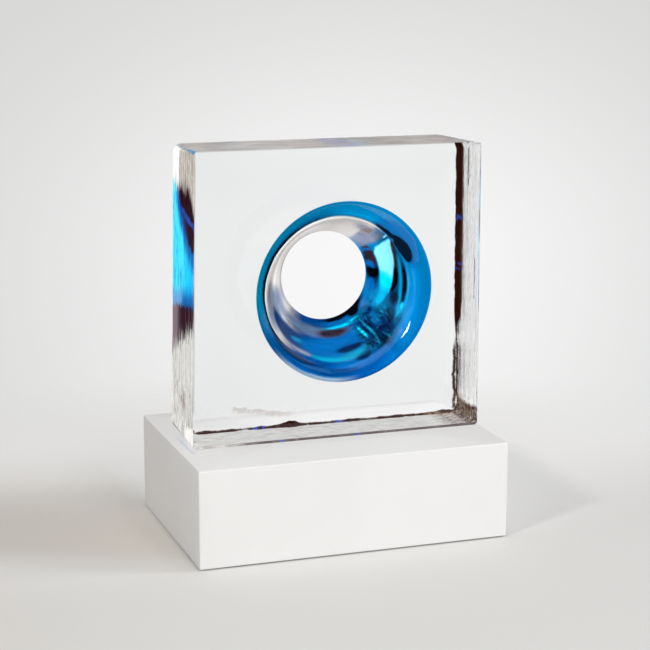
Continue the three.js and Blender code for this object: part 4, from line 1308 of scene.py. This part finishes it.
def sawn_pine(grain_scale):
    """Pine, with growth rings as bands of a slowly bent coordinate and fine pores along the grain."""
    material, sheet, shader = finish("raw_timber", Specular_IOR_Level=0.25)
    whole, _ = sheet.place()
    bend = sheet.noise(sheet.stretched(whole, grain_scale), 0.12, 2.0, 0.5)
    rings = sheet.noise(whole, grain_scale, 2.0, 0.4)
    pores = sheet.noise(whole, tuple(part * 6 for part in grain_scale), 3.0, 0.6)
    band = (rings * 0.6 + bend * 0.4).ramp(0.44, 0.56)
    tint = sheet.mix(band, PINE_BROWN, PINE_PALE)
    tint = sheet.mix(pores.ramp(0.62, 0.74) * 0.4, tint, PINE_PORE)
    sheet.fill(shader, Base_Color=tint, Roughness=pores * 0.2 + 0.6, Normal=sheet.bump(pores, 0.00008))
    return material


# %% Screws and felt
ZINC_DULL, ZINC_BRIGHT = (0.52, 0.53, 0.55), (0.72, 0.72, 0.70)
FELT_DARK, FELT_PALE = (0.030, 0.030, 0.033), (0.085, 0.085, 0.088)


def zinc_plate():
    """Bright zinc: a grey metal, clouded where the plating is thin, with fine turning marks round it."""
    material, sheet, shader = finish("zinc_steel", Metallic=1.0)
    whole, _ = sheet.place()
    cloud = sheet.noise(whole, 260.0, 3.0, 0.6)
    marks = sheet.noise(whole, (300.0, 300.0, 4200.0), 2.0, 0.5)
    tint = sheet.mix(cloud.ramp(0.35, 0.65), ZINC_DULL, ZINC_BRIGHT)
    sheet.fill(shader, Base_Color=tint, Roughness=cloud * 0.25 + 0.2, Normal=sheet.bump(marks, 0.00003, 0.6))
    return material


def pressed_felt():
    """Wool felt: grey, mottled, with a nap of tangled fibres."""
    material, sheet, shader = finish("grey_felt", Roughness=1.0, Specular_IOR_Level=0.1, Sheen_Weight=0.3)
    whole, _ = sheet.place()
    bent = sheet.add("VectorMath", {"operation": "ADD"}, {0: whole, 1: sheet.noise_vector(whole, 400.0)})
    fibres = sheet.noise(bent, (1500.0, 1500.0, 500.0), 4.0, 0.7)
    mottle = sheet.noise(whole, 120.0, 3.0, 0.6)
    tint = sheet.mix((fibres * 0.6 + mottle * 0.4).ramp(0.40, 0.60), FELT_DARK, FELT_PALE)
    sheet.fill(shader, Base_Color=tint, Normal=sheet.bump(fibres, 0.00015))
    return material


# %% Dress the nodes that stay
CORNERS = ("front_left", "front_right", "back_left", "back_right")
wear = {"plinth_base_board": fibreboard(), "felt_base_pad": pressed_felt()}
for kind, material, places in (
    ("bonding_pad", milky_bond(), CORNERS),
    ("corner_block", sawn_pine(PINE_UPRIGHT), CORNERS),
    ("base_screw", zinc_plate(), CORNERS),
    ("bearer", sawn_pine(PINE_ALONG), ("left", "right")),
):
    wear.update({f"{kind}_{place}": material for place in places})
for name, material in wear.items():
    dress(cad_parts[name], material)
print("dressed", len(wear), "nodes that stay")

# %% [markdown]
# ## Glass without a shadow
#
# Real glass shadows the board only faintly, because it brings back as gathered light most of what it takes
# away. The renderer finds the shadow and not the light, so the two pieces of glass cast no shadow at all
# and are left out of the light that pale surfaces send each other.

# %% Dress the pieces
dress(clear_block, clear_glass())
dress(blue_lining, blue_glass())
dress(lacquered_shell, white_lacquer())
for piece in (clear_block, blue_lining, lacquered_shell):
    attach(piece, "root")
for piece in (clear_block, blue_lining):
    piece.visible_shadow = False
    piece.visible_diffuse = False

# %% [markdown]
# ## The room
#
# The trophy stands on a pale board that fades into a pale backdrop, brightest straight behind the glass. A
# camera ray and a ray that goes straight through the glass both see that backdrop. The dark lines in a
# block of glass come from light that was turned back inside it, and so arrives from the sides of the room,
# where a studio is dark. Cycles counts those turns as a ray's glossy depth, so the room is dark at its
# sides only for a ray that has turned, and the glass stays clear from every side. A ray that went straight
# through sees light walls beside the backdrop, which brighten the edges of the block, and seen from the
# sides or from behind it sees the pale backdrop. What the glass mirrors on its outside is dark as well: a
# bright mirror image would veil the deep blue with grey.

# %% Room
world = bpy.data.worlds.new("studio")
bpy.context.scene.world = world
world.use_nodes = True
world.node_tree.nodes.clear()

GLOW_AZIMUTH, GLOW_RISE = math.radians(20.5), math.radians(-10)
GLOW_WIDTH, GLOW_HEIGHT = math.radians(11), math.radians(7.5)
GLOW_WAY = heading(GLOW_AZIMUTH, GLOW_RISE)
BACKDROP_EDGE, BACKDROP_MIDDLE = (0.66, 0.655, 0.65), (0.94, 0.94, 0.94)
ROOM_DARK = (0.020, 0.003, 0.002)
LIGHT_WALLS = (1.06, 1.06, 1.06)
SIDE_CARD, FRONT_WALL = (0.78, 0.77, 0.76), (0.50, 0.52, 0.54)
MIRROR_DIM, MIRROR_BEHIND, SPARK = (0.004, 0.004, 0.004), (0.30, 0.27, 0.26), (30.0, 30.0, 30.0)
HIGHLIGHT_WAY, HIGHLIGHT_WIDTH = (-0.828, 0.037, 0.559), math.radians(11.5)
AMBIENT = (0.39, 0.39, 0.39)


# %% What each ray sees
def backdrop(sheet, direction):
    """The pale backdrop: a glow that falls off as e to the power of minus the squared angle from its middle,
    and faster upwards than sideways."""
    facing = sheet.facing(direction, GLOW_WAY)
    above = (sheet.parts(direction)[2] - GLOW_WAY[2]).at_least(0.0)
    squeeze = 1 / GLOW_HEIGHT**2 - 1 / GLOW_WIDTH**2
    glow = ((facing - 1) * (2 / GLOW_WIDTH**2) - above * above * squeeze).exponent()
    return sheet.mix(glow, BACKDROP_EDGE, BACKDROP_MIDDLE)


def seen_through(sheet, direction, pale):
    """What a ray sees that leaves the glass: the backdrop straight behind and light walls at the sides. If
    it was turned back, the wall at the left behind is greyer, the left side is dark, and the wall in front
    is grey, so that the back face mirrors the lining only faintly."""
    x, y, _ = sheet.parts(direction)
    facing = sheet.facing(direction, GLOW_WAY)
    turns = sheet.add("LightPath", output="Glossy Depth")
    grey = turns.ramp(0.4, 0.6) * x.ramp(-0.30, -0.45) * y.ramp(0.30, 0.50)
    dark = turns.ramp(0.4, 0.6) * x.ramp(-0.40, -0.60) * y.ramp(0.40, 0.20)
    colour = sheet.mix(facing.ramp(0.80, 0.92), LIGHT_WALLS, pale)
    aside = y.ramp(0.1, -0.2).at_least(x.ramp(-0.3, -0.6)).at_least(x.ramp(0.93, 0.98))
    colour = sheet.mix(aside * turns.ramp(0.6, 0.4), colour, pale)
    colour = sheet.mix(grey, colour, SIDE_CARD)
    once = turns.ramp(0.4, 0.6) * turns.ramp(1.6, 1.4)
    colour = sheet.mix(once * y.ramp(-0.5, -0.8), colour, FRONT_WALL)
    return sheet.mix(dark, colour, ROOM_DARK)


def mirrored(sheet, direction):
    """What the outside of a glossy piece mirrors: a dim room, a little lighter behind and above, and one
    small lamp that puts the white spark on the funnel's lip."""
    _, y, z = sheet.parts(direction)
    behind = y.ramp(0.3, 0.8) * z.ramp(0.02, 0.15) * z.ramp(0.55, 0.40)
    colour = sheet.mix(behind, MIRROR_DIM, MIRROR_BEHIND)
    near = math.cos(HIGHLIGHT_WIDTH)
    spark = sheet.facing(direction, HIGHLIGHT_WAY).ramp(near, near + (1 - near) * 0.3)
    return sheet.mix(spark, colour, SPARK)


def build_world():
    """The room, by the kind of ray that sees it."""
    sheet = Sheet(world.node_tree)
    direction = sheet.add("TexCoord", output="Generated")
    pale = backdrop(sheet, direction)
    colour = sheet.mix(sheet.ray("Glossy"), AMBIENT, mirrored(sheet, direction))
    colour = sheet.mix(sheet.ray("Transmission"), colour, seen_through(sheet, direction, pale))
    colour = sheet.mix(sheet.ray("Camera"), colour, pale)
    sheet.node("OutputWorld", inputs={"Surface": sheet.add("Background", inputs={"Color": colour})})


build_world()

# %% [markdown]
# ## The floor
#
# The floor is a matt board that is a little darker towards the camera. At the left of the plinth lies a
# soft, warm shade from things outside the picture, so it is part of the board's colour, and the plinth's
# own shadow comes from the lamps. With distance the board turns transparent and lets the backdrop through,
# so that no horizon shows.

# %% Floor
FLOOR_BACK, FLOOR_FRONT, FLOOR_SHADED = (0.93, 0.927, 0.92), (0.752, 0.747, 0.735), (0.695, 0.662, 0.615)
SHADE_SLOPE = 0.42
FLOOR_HALF = 3.0
FLOOR_NEAR, FLOOR_FAR = 0.33, 0.64
FLOOR_NEAR_IN_GLASS, FLOOR_FAR_IN_GLASS = 0.17, 0.38
FLOOR_MIDDLE = (-0.05, -0.16)
BOARD_LEFT, BOARD_FRONT = float(top_low[0]), float(top_low[1])
corners = FLOOR_HALF * np.array([(-1, -1, 0), (1, -1, 0), (1, 1, 0), (-1, 1, 0)])
floor_mesh = bpy.data.meshes.new("floor")
floor_mesh.from_pydata(corners.tolist(), [], [(0, 1, 2, 3)])
floor = bpy.data.objects.new("floor", floor_mesh)
bpy.context.scene.collection.objects.link(floor)


def pale_floor():
    """A matt board that lets the backdrop through with distance, sooner for a ray that comes out of glass."""
    material, sheet, shader = finish("pale_floor", Roughness=0.9, Specular_IOR_Level=0.0)
    _, (x, y, _) = sheet.place()
    turned = sheet.add("LightPath", output="Glossy Depth").ramp(0.4, 0.6)
    away = ((x - FLOOR_MIDDLE[0]) ** 2 + (y - FLOOR_MIDDLE[1]) ** 2) ** 0.5
    near = (x * x + y * y) ** 0.5
    tone = sheet.mix((y - x.at_least(0.0) * 0.25).ramp(-0.13, 0.10), FLOOR_FRONT, FLOOR_BACK)
    beyond = y + (x - BOARD_LEFT) * SHADE_SLOPE - BOARD_FRONT
    shade = beyond.ramp(-0.02, 0.05) * beyond.ramp(0.32, 0.07) * x.ramp(-0.09, -0.12)
    shade = shade.at_least(x.ramp(-0.15, -0.26) * y.ramp(0.02, -0.06) * 0.35)
    board = sheet.fill(shader, Base_Color=sheet.mix(shade, tone, FLOOR_SHADED))
    fade = away.ramp(FLOOR_NEAR, FLOOR_FAR) * sheet.ray("Camera")
    in_glass = near.ramp(FLOOR_NEAR_IN_GLASS, FLOOR_FAR_IN_GLASS).at_least(turned) * sheet.ray("Glossy")
    sheet.show(sheet.layer(fade + in_glass, board, sheet.add("BsdfTransparent")))
    return material


dress(floor, pale_floor())


# %% Lamps
LAMP_RANGE = 2.2
LAMP_AIM = Vector((0, 0, 0.1))
WHITE, WARM = (1.0, 1.0, 1.0), (1.0, 0.95, 0.90)
# name, azimuth, elevation, side in metres, power in watts, colour
LAMPS = [
    ("front_lamp", 5, 20, 0.9, 11.7, WHITE),
    ("left_lamp", -58, 30, 0.25, 12.2, WARM),
    ("right_lamp", 71, 20, 0.6, 17, WHITE),
    ("top_lamp", 20, 80, 1.2, 8, WHITE),
]


def soft_lamp(name, azimuth, elevation, size, power, colour):
    """A square lamp that looks at the trophy from an azimuth, counted from the front towards the right, and
    an elevation, both in degrees. It lights the scene but doesn't show in glass."""
    x, y, z = heading(math.radians(azimuth), math.radians(elevation))
    away = Vector((x, -y, z))
    data = bpy.data.lights.new(name, "AREA")
    data.shape = "SQUARE"
    data.size = size
    data.energy = power
    data.color = colour
    lamp = bpy.data.objects.new(name, data)
    lamp.location = away * LAMP_RANGE + LAMP_AIM
    lamp.rotation_mode = "QUATERNION"
    lamp.rotation_quaternion = (-away).to_track_quat("-Z", "Y")
    lamp.visible_glossy = False
    lamp.visible_transmission = False
    bpy.context.scene.collection.objects.link(lamp)


for lamp_plan in LAMPS:
    soft_lamp(*lamp_plan)
print(len(LAMPS), "lamps")

# %% View transform
bpy.context.scene.view_settings.view_transform = "Standard"
